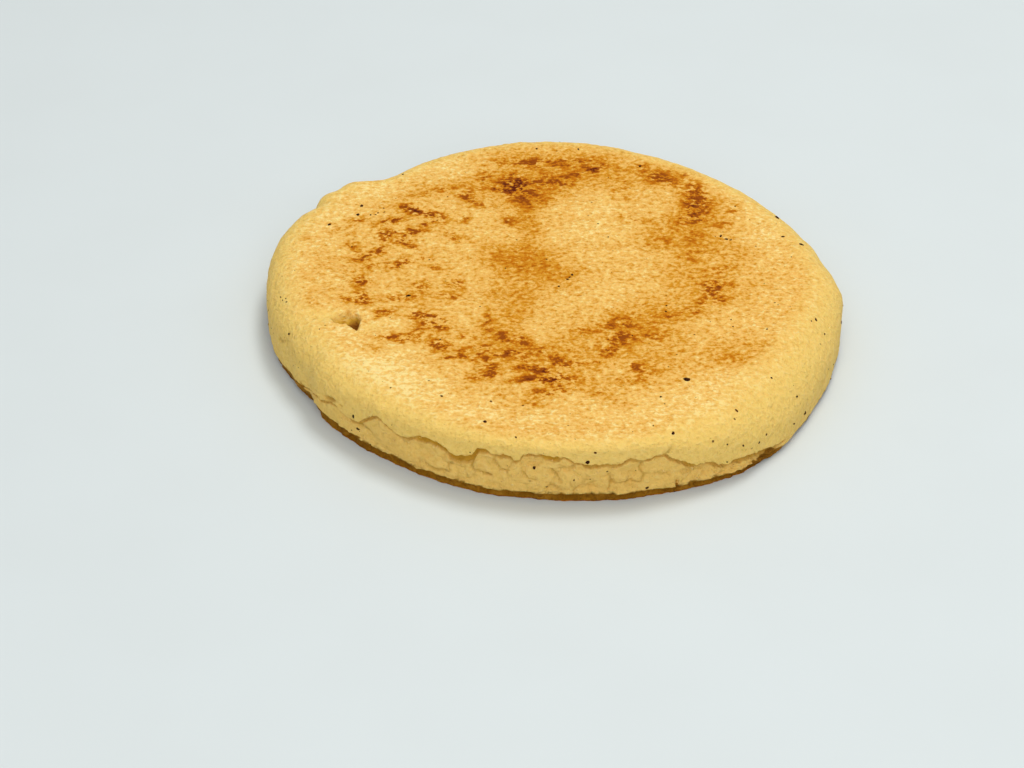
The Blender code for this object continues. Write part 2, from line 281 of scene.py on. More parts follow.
# Relief of the skin, the torn band, the griddled top, the foot and the pit: (size, height, octaves)
SKIN_RELIEF = ((5, 0.16, 3), (1.7, 0.07, 3))
TORN_RELIEF = ((2.4, 0.28, 3), (1, 0.1, 3))
TOP_RELIEF = ((2.4, 0.11, 2), (5.5, 0.14, 2))
FOOT_RELIEF = ((3.2, 0.4, 2), (1.2, 0.14, 2))
PIT_RELIEF = (1.3, 0.7, 3)

# Share of the wall's relief that the foot keeps
FOOT_CALM = 0.35

# Leans of the surface in degrees: a level face, the top side, and where wall passes into top
LEVEL = 90
TOP_LEAN = 60
SHOULDER_LEANS = (20, TOP_LEAN)
# The flat underside leans further down than this and gets no relief
NO_RELIEF_LEAN = -89

# Columns round the wall, and rows up its parts
COLUMNS = 1056
BAND_ROWS = 17
UPPER_ROWS = 4
SHOULDER_ROWS = 14
# Rings of the top, each zone with half the columns of the one before: (share of the radius, rings)
TOP_ZONES = ((1, 5), (0.93, 37), (0.5, 20), (0.25, 11), (0.12, 9))
UNDER_ZONES = ((1, 2), (0.97, 8), (0.72, 7), (0.4, 5), (0.16, 3))
# A ring under this share of the radius is the middle point
NO_RING = 1e-6
# Places on the flat map: centre and scale of the top and underside, and the two strips of the wall
TOP_MAP = (0.352, 0.648, 0.0044)
UNDER_MAP = (0.16, 0.15, 0.00175)
STRIP_LEFT = 0.712
STRIP_WIDTH = 0.138
STRIP_STEP = 0.144
STRIP_MARGIN = 0.01
STRIP_COLUMNS = COLUMNS // 2

# ---------------------------------------------------------------- toasting, as it lies on the top

# Browned patches where the cake met the griddle: (x, y, half length, half width, turn in degrees, strength)
BACK_BROWNING = (
    (-10.7, 49, 3.4, 4, 10, 2.1), (-7.5, 42, 5, 3.6, -40, 1.1), (-4, 51, 7, 5, 0, 0.75),
    (-6, 62.5, 7, 3.2, 0, 1), (11.5, 57.5, 4.6, 1.9, 28, 1.5), (9, 63, 7, 3, 10, 0.6),
    (4.5, 51, 2.6, 2.4, 0, 1), (17, 59, 3.5, 3, 0, 0.5), (30.5, 54, 4.4, 3.4, -15, 1),
    (35, 50, 3, 3, 0, 0.6), (27.5, 60.5, 3, 1.6, 20, 0.55), (21, 49, 1.6, 3, 10, 0.8),
    (20, 42.5, 3.6, 1.8, -45, 0.8), (-20, 54, 3, 2.8, 0, 0.7), (-26, 45.5, 4, 2.2, -20, 0.9),
    (-22, 40, 5.4, 2, -38, 0.95), (-36, 44.5, 4.5, 1.6, 12, 0.7), (-17, 47.5, 5, 2, 0, 0.5),
    (-18, 62, 4, 3, 0, 0.35),
)
RIGHT_BROWNING = (
    (41.5, 54.5, 2.6, 2, 0, 0.8), (42.5, 47, 3, 4, 20, 0.8), (41.8, 38, 3.8, 6, 0, 1.3),
    (40.5, 31, 4, 3.4, 0, 0.95), (52.5, 35.5, 5.5, 2.2, -62, 0.65), (49.5, 26.5, 3.6, 2.4, -30, 0.65),
    (23.8, 30, 3.8, 1.8, -15, 0.85), (33, 24, 5, 2.4, 0, 0.35), (40.5, 20, 4.2, 2.2, 20, 0.6),
    (30.5, 17, 4, 3, 0, 0.4), (39, 10.5, 3, 4, 20, 0.5), (48, 12, 6, 3.6, 0, 0.35),
    (46, 3, 4.4, 2.4, 0, 0.5), (44.5, -5, 4.2, 3.6, 0, 1.15), (43.5, -12, 3.4, 3.6, 0, 0.75),
    (38.5, -17, 4, 2.4, 35, 0.6),
)
FRONT_BROWNING = (
    (18, -24.5, 4.6, 4.6, 0, 0.75), (17, -30.5, 3, 3, 0, 0.75), (26, -31, 5.6, 2.4, 12, 0.6),
    (30.5, -21.5, 4, 2, 30, 0.6), (14.5, -36.5, 4, 2.8, 20, 0.9), (7.5, -27.5, 4, 2.6, 0, 0.5),
    (21, -44.5, 2.6, 2.2, 0, 0.8), (25.5, -42, 1.6, 1.4, 0, 0.8), (18.5, -50, 5, 2, 0, 0.5),
    (25, -47.5, 4, 1.6, 10, 0.55), (12.5, -56, 3.6, 1.6, 0, 0.5), (0.6, -49.2, 5.4, 2.8, -8, 1.35),
    (2, -54.6, 4, 1.8, 0, 0.8), (6, -43, 4.5, 2.6, 0, 0.55), (0.5, -42.5, 2.6, 3.6, 0, 0.85),
    (16, -60, 5, 2, 0, 0.45), (54, -36, 4, 2.4, 40, 0.55), (46, -41, 7, 3, 0, 0.35),
    (-18, -23.5, 1.7, 4.4, 0, 0.8), (-12.5, -30, 4, 2.6, 0, 0.85), (-8.5, -33.5, 3, 2.4, 0, 0.6),
    (-14, -38, 5.6, 1.6, 8, 1.4), (-27, -40.3, 4.6, 0.8, 12, 0.9), (-25, -37.8, 1.5, 1.3, 0, 0.9),
    (-24, -30.2, 2.4, 1.4, -25, 0.9), (-20, -35, 3.4, 1.4, 0, 0.8), (-19, -42.5, 3.6, 3, 0, 0.8),
    (-16.5, -46, 1.8, 2.6, 0, 0.9), (-19.5, -49, 3, 1.4, 10, 0.9), (-8, -41.5, 2.4, 2.6, 0, 0.8),
    (-3, -37, 3.6, 2.4, 0, 0.6), (-5, -45.6, 5.6, 1.3, -4, 1.2), (-6.5, -49.8, 6.4, 1.1, 3, 1.15),
    (-4, -56.5, 4.5, 2.4, 0, 0.8), (-4.5, -61, 3.4, 1.2, 0, 0.6), (-14, -57.2, 3, 1, 0, 0.6),
    (-11, -65, 1.6, 1.2, 20, 0.45),
)
LEFT_BROWNING = (
    (-35.5, -20.5, 4.6, 2.8, -30, 1.28), (-31.5, -24.5, 3, 2.6, -40, 1.28),
    (-37.5, -27.5, 1.6, 2.2, 0, 1.07), (-43.5, -30.2, 3.6, 1.6, 0, 1), (-31.5, -34, 3.4, 3, 0, 1.07),
    (-40, -31.5, 2.6, 1.6, 0, 0.85), (-46.5, -18.5, 3.8, 2, 30, 0.92), (-53, -11.5, 2, 3.2, 0, 1.14),
    (-57.5, -11.5, 1.8, 1.8, 0, 0.85), (-53, -2.5, 2.2, 2.6, 0, 1.36), (-60, -6.2, 2.8, 1.2, 0, 1.07),
    (-42.5, -11, 4.2, 1.4, 10, 1.36), (-27.6, -4.4, 2.2, 2, 0, 1.42), (-29, -10.5, 4, 2, 0, 0.79),
    (-37.5, -4.5, 2.6, 3.4, 30, 0.79), (-66.5, -13, 2, 2.8, 0, 0.64), (-48, -36, 4, 2.6, 0, 0.35),
    (-38, 34, 4.2, 1.9, -22, 1.57), (-33.5, 30.5, 2.6, 2.6, 0, 1.14), (-42, 36.5, 2.2, 2.4, 0, 0.85),
    (-46, 28.5, 3.8, 1.5, 25, 1.36), (-49, 21, 2, 3.6, 10, 1.14), (-46, 23.5, 2, 1.4, 30, 1.14),
    (-40, 22.5, 3.8, 1.8, 25, 1.21), (-36.5, 27, 2, 1, 20, 1), (-42, 18, 2.4, 2, 0, 1.14),
    (-39.5, 15.5, 2.6, 1, -40, 1), (-48.5, 13, 4.2, 1.2, 38, 1.21), (-54, 9, 3.6, 1.6, 0, 1.14),
    (-47, 5, 5, 1.2, 8, 1.07), (-41.5, 7.5, 2, 2.6, -30, 1.21), (-37, 9.5, 1.6, 1.4, 0, 1),
    (-33.5, 4, 2, 1.2, 0, 1.07), (-25.5, 30, 2, 1.8, -30, 0.79), (-12, 29, 2.2, 2.2, 0, 0.79),
    (-28.5, 20.5, 4, 1.6, -30, 0.64), (-61, 24.5, 3.6, 2.4, 30, 0.57), (-55, 29.5, 3, 1.6, 10, 0.71),
    (-56.5, 15.5, 2, 4, 20, 0.64), (-70.5, 19.5, 2, 2.4, 0, 0.43),
)
BROWNING = BACK_BROWNING + RIGHT_BROWNING + FRONT_BROWNING + LEFT_BROWNING
# Soft golden smears with no blots in them, laid out the same way
SMEARS = (
    (-7, 5, 10.5, 9, 0, 0.85), (-15, 10, 5, 7, 20, 0.5), (-7, 14, 3, 6, 0, 0.35), (-7, 29, 4, 11, 5, 0.65),
    (2, -1, 6, 8, 0, 0.4), (-10, -18, 8, 7, 20, 0.55), (-16, -10, 10, 4, 0, 0.3), (2, -32, 5, 4, 0, 0.4),
    (31, -27, 5, 5, 0, 0.3), (39, 24, 6, 8, 0, 0.4), (28, 21, 9, 9, 0, 0.25), (39, 13, 5, 6, 0, 0.3),
    (36, -2, 8, 12, 0, 0.35), (28, -18, 12, 7, 30, 0.4), (18, -27, 9, 7, 0, 0.4), (28, -38, 12, 5, 10, 0.3),
    (43, 36, 6, 11, 0, 0.45), (46, -6, 6, 8, 0, 0.15), (-4, 48, 12, 9, 0, 0.45), (8, 60, 16, 6, 0, 0.4),
    (30, 56, 9, 5, -20, 0.6), (16, 52, 9, 6, 0, 0.3), (-32, 50, 12, 5, 15, 0.35), (-24, 40, 4, 3, 0, 0.5),
    (-8, 40, 4, 4, 0, 0.35), (-8, -42, 12, 6, 0, 0.3), (8, -38, 10, 4, 0, 0.25), (56, -14, 8, 16, 0, 0.2),
    (50, -36, 10, 6, 30, 0.4), (67, 4, 6.5, 32, 0, 0.32), (0, -72, 26, 4, 0, 0.35), (-5, 70, 34, 7, 0, 0.5),
    (-66, -4, 6, 20, 0, 0.3), (-46, -46, 14, 8, -30, -0.35), (14, 30, 10, 10, 0, -0.2),
    (-50, -22, 8, 8, 0, -0.2), (-15, -31, 5, 9, 0, 0.4), (35, -46, 9, 5, 10, 0.28),
    (35, 57, 5, 4, -20, 0.3), (51, 14, 5, 9, 0, 0.2), (-8, -9, 5, 4, 0, 0.3), (-38, -32, 8, 6, 0, -0.25),
    (-50, 24, 6, 6, 0, -0.2),
)
# Halo and blots of each browned patch: (growth, strength); and strength of the smears
HALO = (2, 0.12)
BLOTS = (1.07, 1.1)
SMEAR_STRENGTH = 1.05
# Faint toast of the flat top, and the shares of the radius between which it comes
FLAT_TOAST = 0.26
FLAT_SHARES = (0.94, 0.8)
# The griddled crust comes between these leans, and thins outwards to a least share
GRIDDLED_LEANS = (35, 83)
GRIDDLED_SHARES = (1.06, 0.96)
GRIDDLED_LEAST = 0.45
# Dents missed the griddle: (share for each millimetre of depth, most)
DENT_MISS = (1.6, 0.8)
# Leans between which the browning of the top comes, and that of the underside
TOASTED_LEANS = (20, 80)
UNDER_LEANS = (0, -5)
# The underside met the griddle all over: (how strongly it browned, swing and size of its clouds, blots)
UNDER_TOAST = (1.5, 0.8, 26, 0.3)
# Upper edge of the foot's browning and painted shade: (size of its waver, how far), and the heights between
# which it comes
FOOT_BROWNING_AND_SHADE = (2.4, 0.5)
FOOT_FADE = (-0.2, 0.2)

# ---------------------------------------------------------------- bran specks

# On the top: (x, y, size)
TOP_BRAN = (
    (-55.4, 37.3, 1), (-56.2, 32.4, 1), (-64.1, 27.2, 0.95), (-52.5, 32.2, 0.6), (-51, 32.4, 0.5),
    (-50.4, 33.4, 0.5), (-48.9, 36, 0.5), (-48.6, 33.8, 0.5), (-44.1, 56, 0.6), (-4.1, 70.6, 0.8),
    (8.5, 70, 0.8), (26.7, 60.1, 0.9), (65.2, 32.4, 1.4), (65.8, 20.4, 0.8), (70.8, 17.2, 1.1),
    (48.1, 20.8, 1), (49.6, 19.2, 0.9), (50.8, 18.8, 0.7), (13.2, 27.3, 0.45), (15.9, 20.1, 0.45),
    (53.4, 37, 0.45), (5.2, 0.3, 0.8), (4.5, -0.9, 0.7), (3.9, -2, 0.65), (1.4, -5.5, 0.6),
    (34.3, -50, 1.4), (46.4, -62, 0.85), (63, -63.6, 1.2), (60, -68.2, 0.8), (29.4, -72.8, 0.8),
    (71.2, -20, 0.9), (69.8, -21.2, 0.5), (73.4, -23.4, 0.6), (47.9, -21.8, 0.5), (30.7, -15, 0.55),
    (30.4, -17.8, 0.6), (57.2, -26.7, 0.6), (27, -57.7, 0.6), (56.7, -47.5, 0.55), (-40.1, -10.3, 1.15),
    (-29.8, -57.4, 0.85), (-18.4, -68.4, 0.7), (-17, -59.8, 0.55), (-8.7, -61.5, 0.55), (-73.6, -11.5, 0.6),
    (-71, -28.8, 0.5), (-30.8, -31.5, 0.5), (-57, 15.1, 0.45), (-1.8, 8.7, 0.5), (-18.5, -68.7, 0.8),
    (-10.6, -75.1, 0.6), (-75.5, -8.1, 0.6), (-73.9, -9.7, 0.5), (-74.8, -9.9, 0.5),
)
# On the wall: (clock, height, size)
WALL_BRAN = (
    (225.7, 10, 0.9), (226.2, 6, 0.95), (265.5, 10.3, 0.75), (268, 4.1, 0.6), (275.3, 13.5, 0.95),
    (276.8, 16.3, 0.7), (279.1, 9.3, 0.6), (286.7, 3.7, 0.8), (273, 7.4, 0.45), (305.4, 10.3, 0.6),
    (325.4, 4.7, 1.2), (320.4, 5.6, 0.7), (323.2, 11.1, 0.7), (197.5, 14.2, 0.6), (302, 12, 0.5),
    (309.5, 7.9, 0.6), (311.8, 8.9, 0.6), (299.3, 14.1, 0.5), (307.6, 7.9, 0.4), (302.2, 6.9, 0.5),
    (305.3, 15.9, 0.5), (352, 10.2, 0.8), (16, 7.6, 0.7), (33, 11, 0.5), (57, 5.8, 0.6), (70, 13.8, 0.8),
    (93, 7.4, 0.7), (112, 13, 0.6), (126, 5, 0.5), (160, 10, 0.7), (171, 5.6, 0.6), (184, 10.6, 0.5),
)
# Seeds of the two scatterings
BRAN_SEED = 11
CRUMB_SEED = 23
# Height from which places on top are looked for
ABOVE = 60
# Radius over which specks are laid
SPECK_REACH = 79
# Fine specks: (smallest size, how much larger they may be), share of them on top, heights on the wall
FINE_BRAN = (0.2, 0.25)
BRAN_ON_TOP = 0.72
BRAN_HEIGHTS = (2, 14)
# Specks keep off the wall where it leans more or lies deeper in shade than this
SPECK_LEAN = 85
SPECK_SHADE = 0.6
# Chips: subdivisions, widths against their length, raggedness and how fine that is
CHIP_DETAIL = 2
CHIP_WIDTHS = (0.5, 0.85)
CHIP_RAGGEDNESS = (0.5, 2.6)
# Flatness of the bran and of the crumbs
BRAN_FLATNESS = 0.4
CRUMB_FLATNESS = 0.6
# Crumbs: (smallest size, how much larger they may be), and how deep they sit in the band
CRUMB_SIZES = (0.4, 0.8)
CRUMB_SINK = 0.12
# They cling where the band is torn by at least this share and clear of the foot
CRUMB_TEARING = 0.55
CRUMB_CLEAR = 0.1

# ---------------------------------------------------------------- stage

# Place of the camera in millimetres, how far it looks down in degrees, lens and sensor in millimetres
CAMERA_PLACE = (-11.56, -564.79, 383.97)
CAMERA_DOWN = 35.5
CAMERA_LENS = 84.8
CAMERA_SENSOR = 36.0
# Lights: (name, place, width), in metres
LIGHTS = (("key", (0.24, 0.32, 1.16), 0.4), ("fill", (0.05, -0.9, 0.72), 0.8))
# Floor: radius in metres, segments
FLOOR = (3.0, 96)



# ---------------------------------------------------------------- properties


def linear(hex_colour):
    """A hex colour as Blender's linear colour with alpha."""
    values = []
    for i in (1, 3, 5):
        share = int(hex_colour[i : i + 2], 16) / 255.0
        values.append(share / 12.92 if share <= 0.04045 else ((share + 0.055) / 1.055) ** 2.4)
    return (*values, 1.0)


def tint(name, hex_colour, description):
    """A colour that a user would change."""
    start = linear(hex_colour)
    return bpy.props.FloatVectorProperty(
        name=name, description=description, default=start, size=4, subtype="COLOR"
    )


def length(name, size, description):
    """A length that a user would change, in millimetres."""
    return bpy.props.FloatProperty(
        name=name, description=description, default=size * MM, unit="LENGTH", subtype="DISTANCE"
    )


class CornCakeSizes(bpy.types.PropertyGroup):
    """Sizes that a user would change."""

    mean_radius: length("Mean radius", 79.1, "Half the width of the cake")
    thickness: length("Thickness", 18.2, "Height of the top above the table")
    bran_count: bpy.props.IntProperty(
        name="Fine bran", description="Fine bran specks over the cake, besides the large ones", default=180
    )
    bran_scale: bpy.props.FloatProperty(
        name="Bran size", description="Size of the specks against usual", default=1.25, subtype="FACTOR"
    )
    crumb_count: bpy.props.IntProperty(
        name="Crumbs", description="How many crumbs cling to the torn band", default=420
    )


class CornCakeColours(bpy.types.PropertyGroup):
    """Colours that a user would change."""

    dough: tint("Dough", "#F3CC6E", "Pale yellow skin of the rim and wall, which never touched the griddle")
    griddled: tint("Griddled crust", "#F5C66C", "Warm dry crust of the flat faces")
    warm: tint("Warm crust", "#ECB356", "Crust that has just begun to colour")
    golden: tint("Golden toast", "#D79220", "First browning")
    brown: tint("Brown toast", "#C47000", "Strong browning in blots")
    dark: tint("Dark toast", "#964900", "Hearts of the blots")
    char: tint("Char", "#5A1A00", "The few scorched places")
    # Painted shade in the joints, splits, pocks and along the cracks
    crevice_shade: tint("Crevice", "#C4983F", "Shaded dough in the joints and along the cracks")
    # Painted deep shade over the moist amber dough inside cracks and the pit
    moist_and_shade: tint("Moist dough", "#CC9A2C", "Amber dough deep inside cracks and the pit")
    torn: tint("Torn dough", "#EDC268", "Rough dough of the cracked band")
    bran: tint("Bran", "#2E1406", "Dark tips of maize bran")


class CornCakeStage(bpy.types.PropertyGroup):
    """Floor and lights."""

    floor: tint("Floor", "#DAE1E0", "Plain pale sweep that the cake lies on")
    key_power: bpy.props.FloatProperty(
        name="Key light", description="Soft light above and behind", default=6.05, unit="POWER"
    )
    fill_power: bpy.props.FloatProperty(
        name="Fill light", description="Wide light from the front", default=4.4, unit="POWER"
    )
    sky: bpy.props.FloatProperty(
        name="Surroundings", description="Strength of the light from all round", default=0.6
    )


# ---------------------------------------------------------------- form


def ease(share):
    """A share from 0 to 1 that starts and ends level."""
    return share * share * (3.0 - 2.0 * share)


def ramp(values, start, full):
    """How far values have come from a start to a full value, from 0 to 1."""
    return np.clip((values - start) / (full - start), 0.0, 1.0)


def along(table, clock, column=1):
    """The value at a clock, from a table of stations."""
    clock = clock % 360.0
    for before, after in zip(table, table[1:]):
        if clock <= after[0]:
            share = (clock - before[0]) / (after[0] - before[0])
            return before[column] + (after[column] - before[column]) * ease(share)
    return table[-1][column]


def straight(table, clocks):
    """Values at many clocks, straight from station to station."""
    return np.interp(clocks, [row[0] for row in table], [row[1] for row in table])


def apart(clock, other):
    """Degrees between two clocks, the short way round."""
    return (clock - other + 180.0) % 360.0 - 180.0


def spot(clock, radius, height):
    """A point from its clock, distance from the axis and height."""
    angle = math.radians(clock)
    return Vector((radius * math.cos(angle), radius * math.sin(angle), height))


def lumps(point, kind):
    """Soft unevenness of the dough at a point."""
    size, height = kind
    return height * noise.noise(point / size)


def field(points, size, octaves=1, away=0.0):
    """Noise from about -1 to 1 at many points, with features of a real size."""
    offset = Vector((away, away, away))
    if octaves == 1:
        return np.array([noise.noise(point / size + offset) for point in points])
    return np.array([noise.fractal(point / size + offset, 1.0, 2.0, octaves) for point in points])


def grain(points, kinds):
    """Relief of several sizes at many points."""
    return sum(height * field(points, size, octaves) for size, height, octaves in kinds)


def wander(points, size, far, octaves, away):
    """Two slow drifts at many points, so that what was listed has no clean edge."""
    return far * field(points, size, octaves), far * field(points, size, octaves, away)


def outline(clock, mean_radius):
    """Distance from the axis to the wall."""
    radius = mean_radius
    for count, height, crest in LOBES:
        radius += height * math.cos(count * math.radians(clock - crest))
    for centre, half_width, height in PATS:
        radius += height * math.exp(-((apart(clock, centre) / half_width) ** 2))
    return radius


def foot_top(clock):
    """Height of the foot's upper edge."""
    top = FOOT[-1][1] * along(LIFT, clock)
    for reach, height in FOOT_EDGE:
        top += height * noise.noise(spot(clock, reach, 3.0))
    return top


def foot_rows(clock, radius, top):
    """The rounded foot, from the flat underside to the wall, no higher than the given top."""
    often, far = FOOT_WAVER
    shift = far * noise.noise(spot(clock, 1.0, 0.0) * often)
    size, far = FOOT_FRAY
    shift += far * noise.fractal(spot(clock, radius, 0.0) / size, 1.0, 2.0, 2)
    for centre, half_width, tuck in TUCKS:
        shift -= tuck * math.exp(-((apart(clock, centre) / half_width) ** 2))
    squeeze = top / FOOT[-1][1]
    return [(radius - inset + shift, height * squeeze, lean, 0.0, 0.0) for inset, height, lean in FOOT]


def band_rows(radius, low, high, set_back, torn):
    """The torn band between the foot and the crack."""
    rows = []
    for share in (i / (BAND_ROWS + 1) for i in range(1, BAND_ROWS + 1)):
        inset = set_back * (BAND_START + (1.0 - BAND_START) * ease(share))
        rows.append((radius - inset, low + (high - low) * share, 0.0, 0.0, torn))
    return rows


def crack_rows(radius, crack, gape, set_back, torn):
    """The crack and its overhanging upper lip."""
    opened = min(1.0, gape / OPEN_GAPE)
    depth = opened * (CRACK_DEPTH[0] + CRACK_DEPTH[1] * gape)
    # The band's edge also lies lower by as much as it is set back, or the lip would hide the gape
    room = CRACK_ROOM[0] + CRACK_ROOM[1] * set_back + CRACK_ROOM[2] * depth
    span = gape + SHUT_SPAN * (1.0 - opened) + opened * room
    # A narrow crack gets lighter painted shade; only a wide one gets the moist amber and deep painted shade
    shade_share = opened * (NARROW_SHADE + (1.0 - NARROW_SHADE) * min(1.0, gape / MOIST_SHADE_GAPE))
    rows = []
    for in_gapes, rise, back, deep, shade in CRACK_SECTION:
        inset = set_back * back + depth * deep
        # Rows that are set back by more than half belong to the band, the others to the lip
        tear = torn if back > 0.5 else LIP_TEARING * torn * shade
        rows.append((radius - inset, crack + span * in_gapes + rise, 0.0, shade * shade_share, tear))
    return rows


def upper_rows(radius, low, high, proud):
    """The edge of the top crust above the crack."""
    rows = []
    for share in (i / UPPER_ROWS for i in range(1, UPPER_ROWS + 1)):
        rows.append((radius + proud * (1.0 - ease(share)), low + (high - low) * share, 0.0, 0.0, 0.0))
    return rows


def shoulder_rows(radius, start, reach, thickness):
    """The rounded shoulder, from the wall to the top."""
    rows = []
    for i in range(1, SHOULDER_ROWS + 1):
        turn = 0.5 * math.pi * i / SHOULDER_ROWS
        inset = reach * (1.0 - math.cos(turn))
        rise = (thickness - start) * math.sin(turn)
        rows.append((radius - inset, start + rise, math.degrees(turn), 0.0, 0.0))
    return rows


def section(clock, crack, gape, sizes):
    """The wall at a clock, bottom to top: (radius, height, lean, painted crevice shade, torn)."""
    thickness = sizes.thickness / MM
    radius = outline(clock, sizes.mean_radius / MM)
    radius += lumps(spot(clock, radius, 0.0), WALL_LUMPS)
    torn = along(TEARING, clock)
    set_back = along(SET_BACK, clock)
    crack += torn * lumps(spot(clock, radius, 0.0), RAGGED)
    crack_part = crack_rows(radius, crack, gape, set_back, torn)
    below = crack_part[0][1]
    above = crack_part[-1][1]
    low = min(foot_top(clock), FOOT_LIMIT * below)
    start = max(thickness - along(SHOULDER, clock, 2), above + LEAST_CRUST)
    rows = foot_rows(clock, radius, low)
    rows += band_rows(radius, low, below, set_back, torn)
    rows += crack_part
    rows += upper_rows(radius, above, start, crack_part[-1][0] - radius)
    return rows + shoulder_rows(radius, start, along(SHOULDER, clock, 1), thickness)


class Skin:
    """The closed skin of the cake while it is being made, in millimetres."""

    def __init__(self):
        self.points = []
        self.marks = {"clock": [], "lean": [], "crevice_shade": [], "torn": [], "share": []}
        self.faces = []
        self.corners = []

    def add(self, point, clock, lean, crevice_shade=0.0, torn=0.0, share=1.0):
        """Adds one point and returns its number."""
        self.points.append(point)
        for label, value in zip(self.marks, (clock, lean, crevice_shade, torn, share)):
            self.marks[label].append(value)
        return len(self.points) - 1

    def face(self, numbers, corners):
        """Adds one face with its places on the flat map."""
        self.faces.append(numbers)
        self.corners.extend(corners)

    def flat_face(self, numbers, layout, upward):
        """Adds one face of the top or underside, given as seen from above."""
        numbers = numbers if upward else numbers[::-1]
        middle_x, middle_y, scale = layout
        spots = [self.points[number] for number in numbers]
        self.face(numbers, [(middle_x + point.x * scale, middle_y + point.y * scale) for point in spots])


def strip_places(column, row, rows):
    """Places on the flat map for the corners of one face of the wall."""
    side = STRIP_LEFT + column // STRIP_COLUMNS * STRIP_STEP
    near, far = (side + STRIP_WIDTH * i / (rows - 1) for i in (row, row + 1))
    first = column % STRIP_COLUMNS
    inside = 1.0 - 2.0 * STRIP_MARGIN
    low, high = (STRIP_MARGIN + inside * i / STRIP_COLUMNS for i in (first, first + 1))
    return (near, low), (near, high), (far, high), (far, low)


def build_wall(skin, sizes):
    """Adds the wall and returns its columns of point numbers."""
    clocks = [360.0 * i / COLUMNS for i in range(COLUMNS)]
    columns = []
    for clock, crack, gape in zip(clocks, straight(CRACK, clocks), straight(GAPE, clocks)):
        columns.append([])
        for radius, height, *marks in section(clock, float(crack), float(gape), sizes):
            columns[-1].append(skin.add(spot(clock, radius, height), clock, *marks))
    rows = len(columns[0])
    for i, left in enumerate(columns):
        right = columns[(i + 1) % COLUMNS]
        for j in range(rows - 1):
            skin.face((left[j], right[j], right[j + 1], left[j + 1]), strip_places(i, j, rows))
    return columns


def stitch(skin, outer, inner, layout, upward):
    """Joins a ring to the next one inwards, which has as many points or half as many."""
    ratio = len(outer) // len(inner)
    for i, a in enumerate(inner):
        b = inner[(i + 1) % len(inner)]
        edge = [outer[(i * ratio + k) % len(outer)] for k in range(ratio + 1)]
        if ratio == 1:
            loops = [(edge[0], edge[1], b, a)]
        else:
            loops = [(edge[0], edge[1], a), (edge[1], b, a), (edge[1], edge[2], b)]
        for loop in loops:
            skin.flat_face(loop, layout, upward)


def build_disc(skin, rim, zones, layout, upward, thickness):
    """Fills a ring of points inwards to a middle point."""
    outer = rim
    lean = LEVEL if upward else -LEVEL
    for halvings, (start, rings) in enumerate(zones):
        end = zones[halvings + 1][0] if halvings + 1 < len(zones) else 0.0
        for j in range(1, rings + 1):
            share = start + (end - start) * j / rings
            if share < NO_RING:
                break
            ring = []
            for i in range(0, COLUMNS, 2**halvings):
                edge = skin.points[rim[i]]
                point = Vector((edge.x * share, edge.y * share, edge.z))
                if upward:
                    point.z += (1.0 - share) * lumps(Vector((point.x, point.y, 0.0)), TOP_LUMPS)
                ring.append(skin.add(point, skin.marks["clock"][rim[i]], lean, share=share))
            stitch(skin, outer, ring, layout, upward)
            outer = ring
    middle = skin.add(Vector((0.0, 0.0, thickness if upward else 0.0)), 0.0, lean, share=0.0)
    for a, b in zip(outer, outer[1:] + outer[:1]):
        skin.flat_face((a, b, middle), layout, upward)


def shift_onto_solid(skin):
    """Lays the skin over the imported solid: same middle, same table."""
    points = np.array(skin.points)
    middle = (points.min(axis=0) + points.max(axis=0)) / 2.0
    low, high = cad_box
    target = (np.array(low) + np.array(high)) / 2.0 / MM
    move = Vector((target[0] - middle[0], target[1] - middle[1], 0.0))
    skin.points = [point + move for point in skin.points]


def skin_mesh(skin):
    """The smooth skin as a mesh with its flat map and its marks."""
    mesh = bpy.data.meshes.new("cake_crust")
    mesh.from_pydata([tuple(point * MM) for point in skin.points], [], skin.faces)
    layer = mesh.uv_layers.new(name="OFBake")
    layer.data.foreach_set("uv", np.array(skin.corners, dtype=np.float32).ravel())
    for label, values in skin.marks.items():
        write_mark(mesh, label, np.array(values))
    return mesh


def cut_finer(mesh, x, y, reach):
    """Cuts the top's faces in four round a place."""
    work = bmesh.new()
    work.from_mesh(mesh)
    centre = Vector((x * MM, y * MM))
    lean = work.verts.layers.float["lean"]
    near = {v for v in work.verts if v[lean] > TOP_LEAN and (v.co.xy - centre).length < reach * MM}
    edges = [edge for edge in work.edges if edge.verts[0] in near and edge.verts[1] in near]
    bmesh.ops.subdivide_edges(work, edges=edges, cuts=1, use_grid_fill=True)
    wide = [face for face in work.faces if len(face.verts) > 4]
    bmesh.ops.triangulate(work, faces=wide)
    work.to_mesh(mesh)
    work.free()


def read_marks(mesh, *labels):
    """Marks of every point of a mesh, by their labels."""
    marks = {}
    for label in labels:
        values = np.zeros(len(mesh.vertices), dtype=np.float32)
        mesh.attributes[label].data.foreach_get("value", values)
        marks[label] = values.astype(float)
    return marks


def write_mark(mesh, label, values):
    """Stores a mark for every point of a mesh."""
    attribute = mesh.attributes.get(label) or mesh.attributes.new(label, "FLOAT", "POINT")
    attribute.data.foreach_set("value", values.astype(np.float32))


# ---------------------------------------------------------------- relief


def hollow(distance, steepness=1.0):
    """Depth share of a hollow at a distance from its middle, 1 at the middle."""
    return np.exp(-(distance ** (2.0 * steepness)))


def off_line(across, height, start, end):
    """Distance from many places to a straight line between two places."""
    run = np.array(end) - np.array(start)
    share = ((across - start[0]) * run[0] + (height - start[1]) * run[1]) / (run @ run)
    share = np.clip(share, 0.0, 1.0)
    return np.hypot(across - start[0] - share * run[0], height - start[1] - share * run[1])


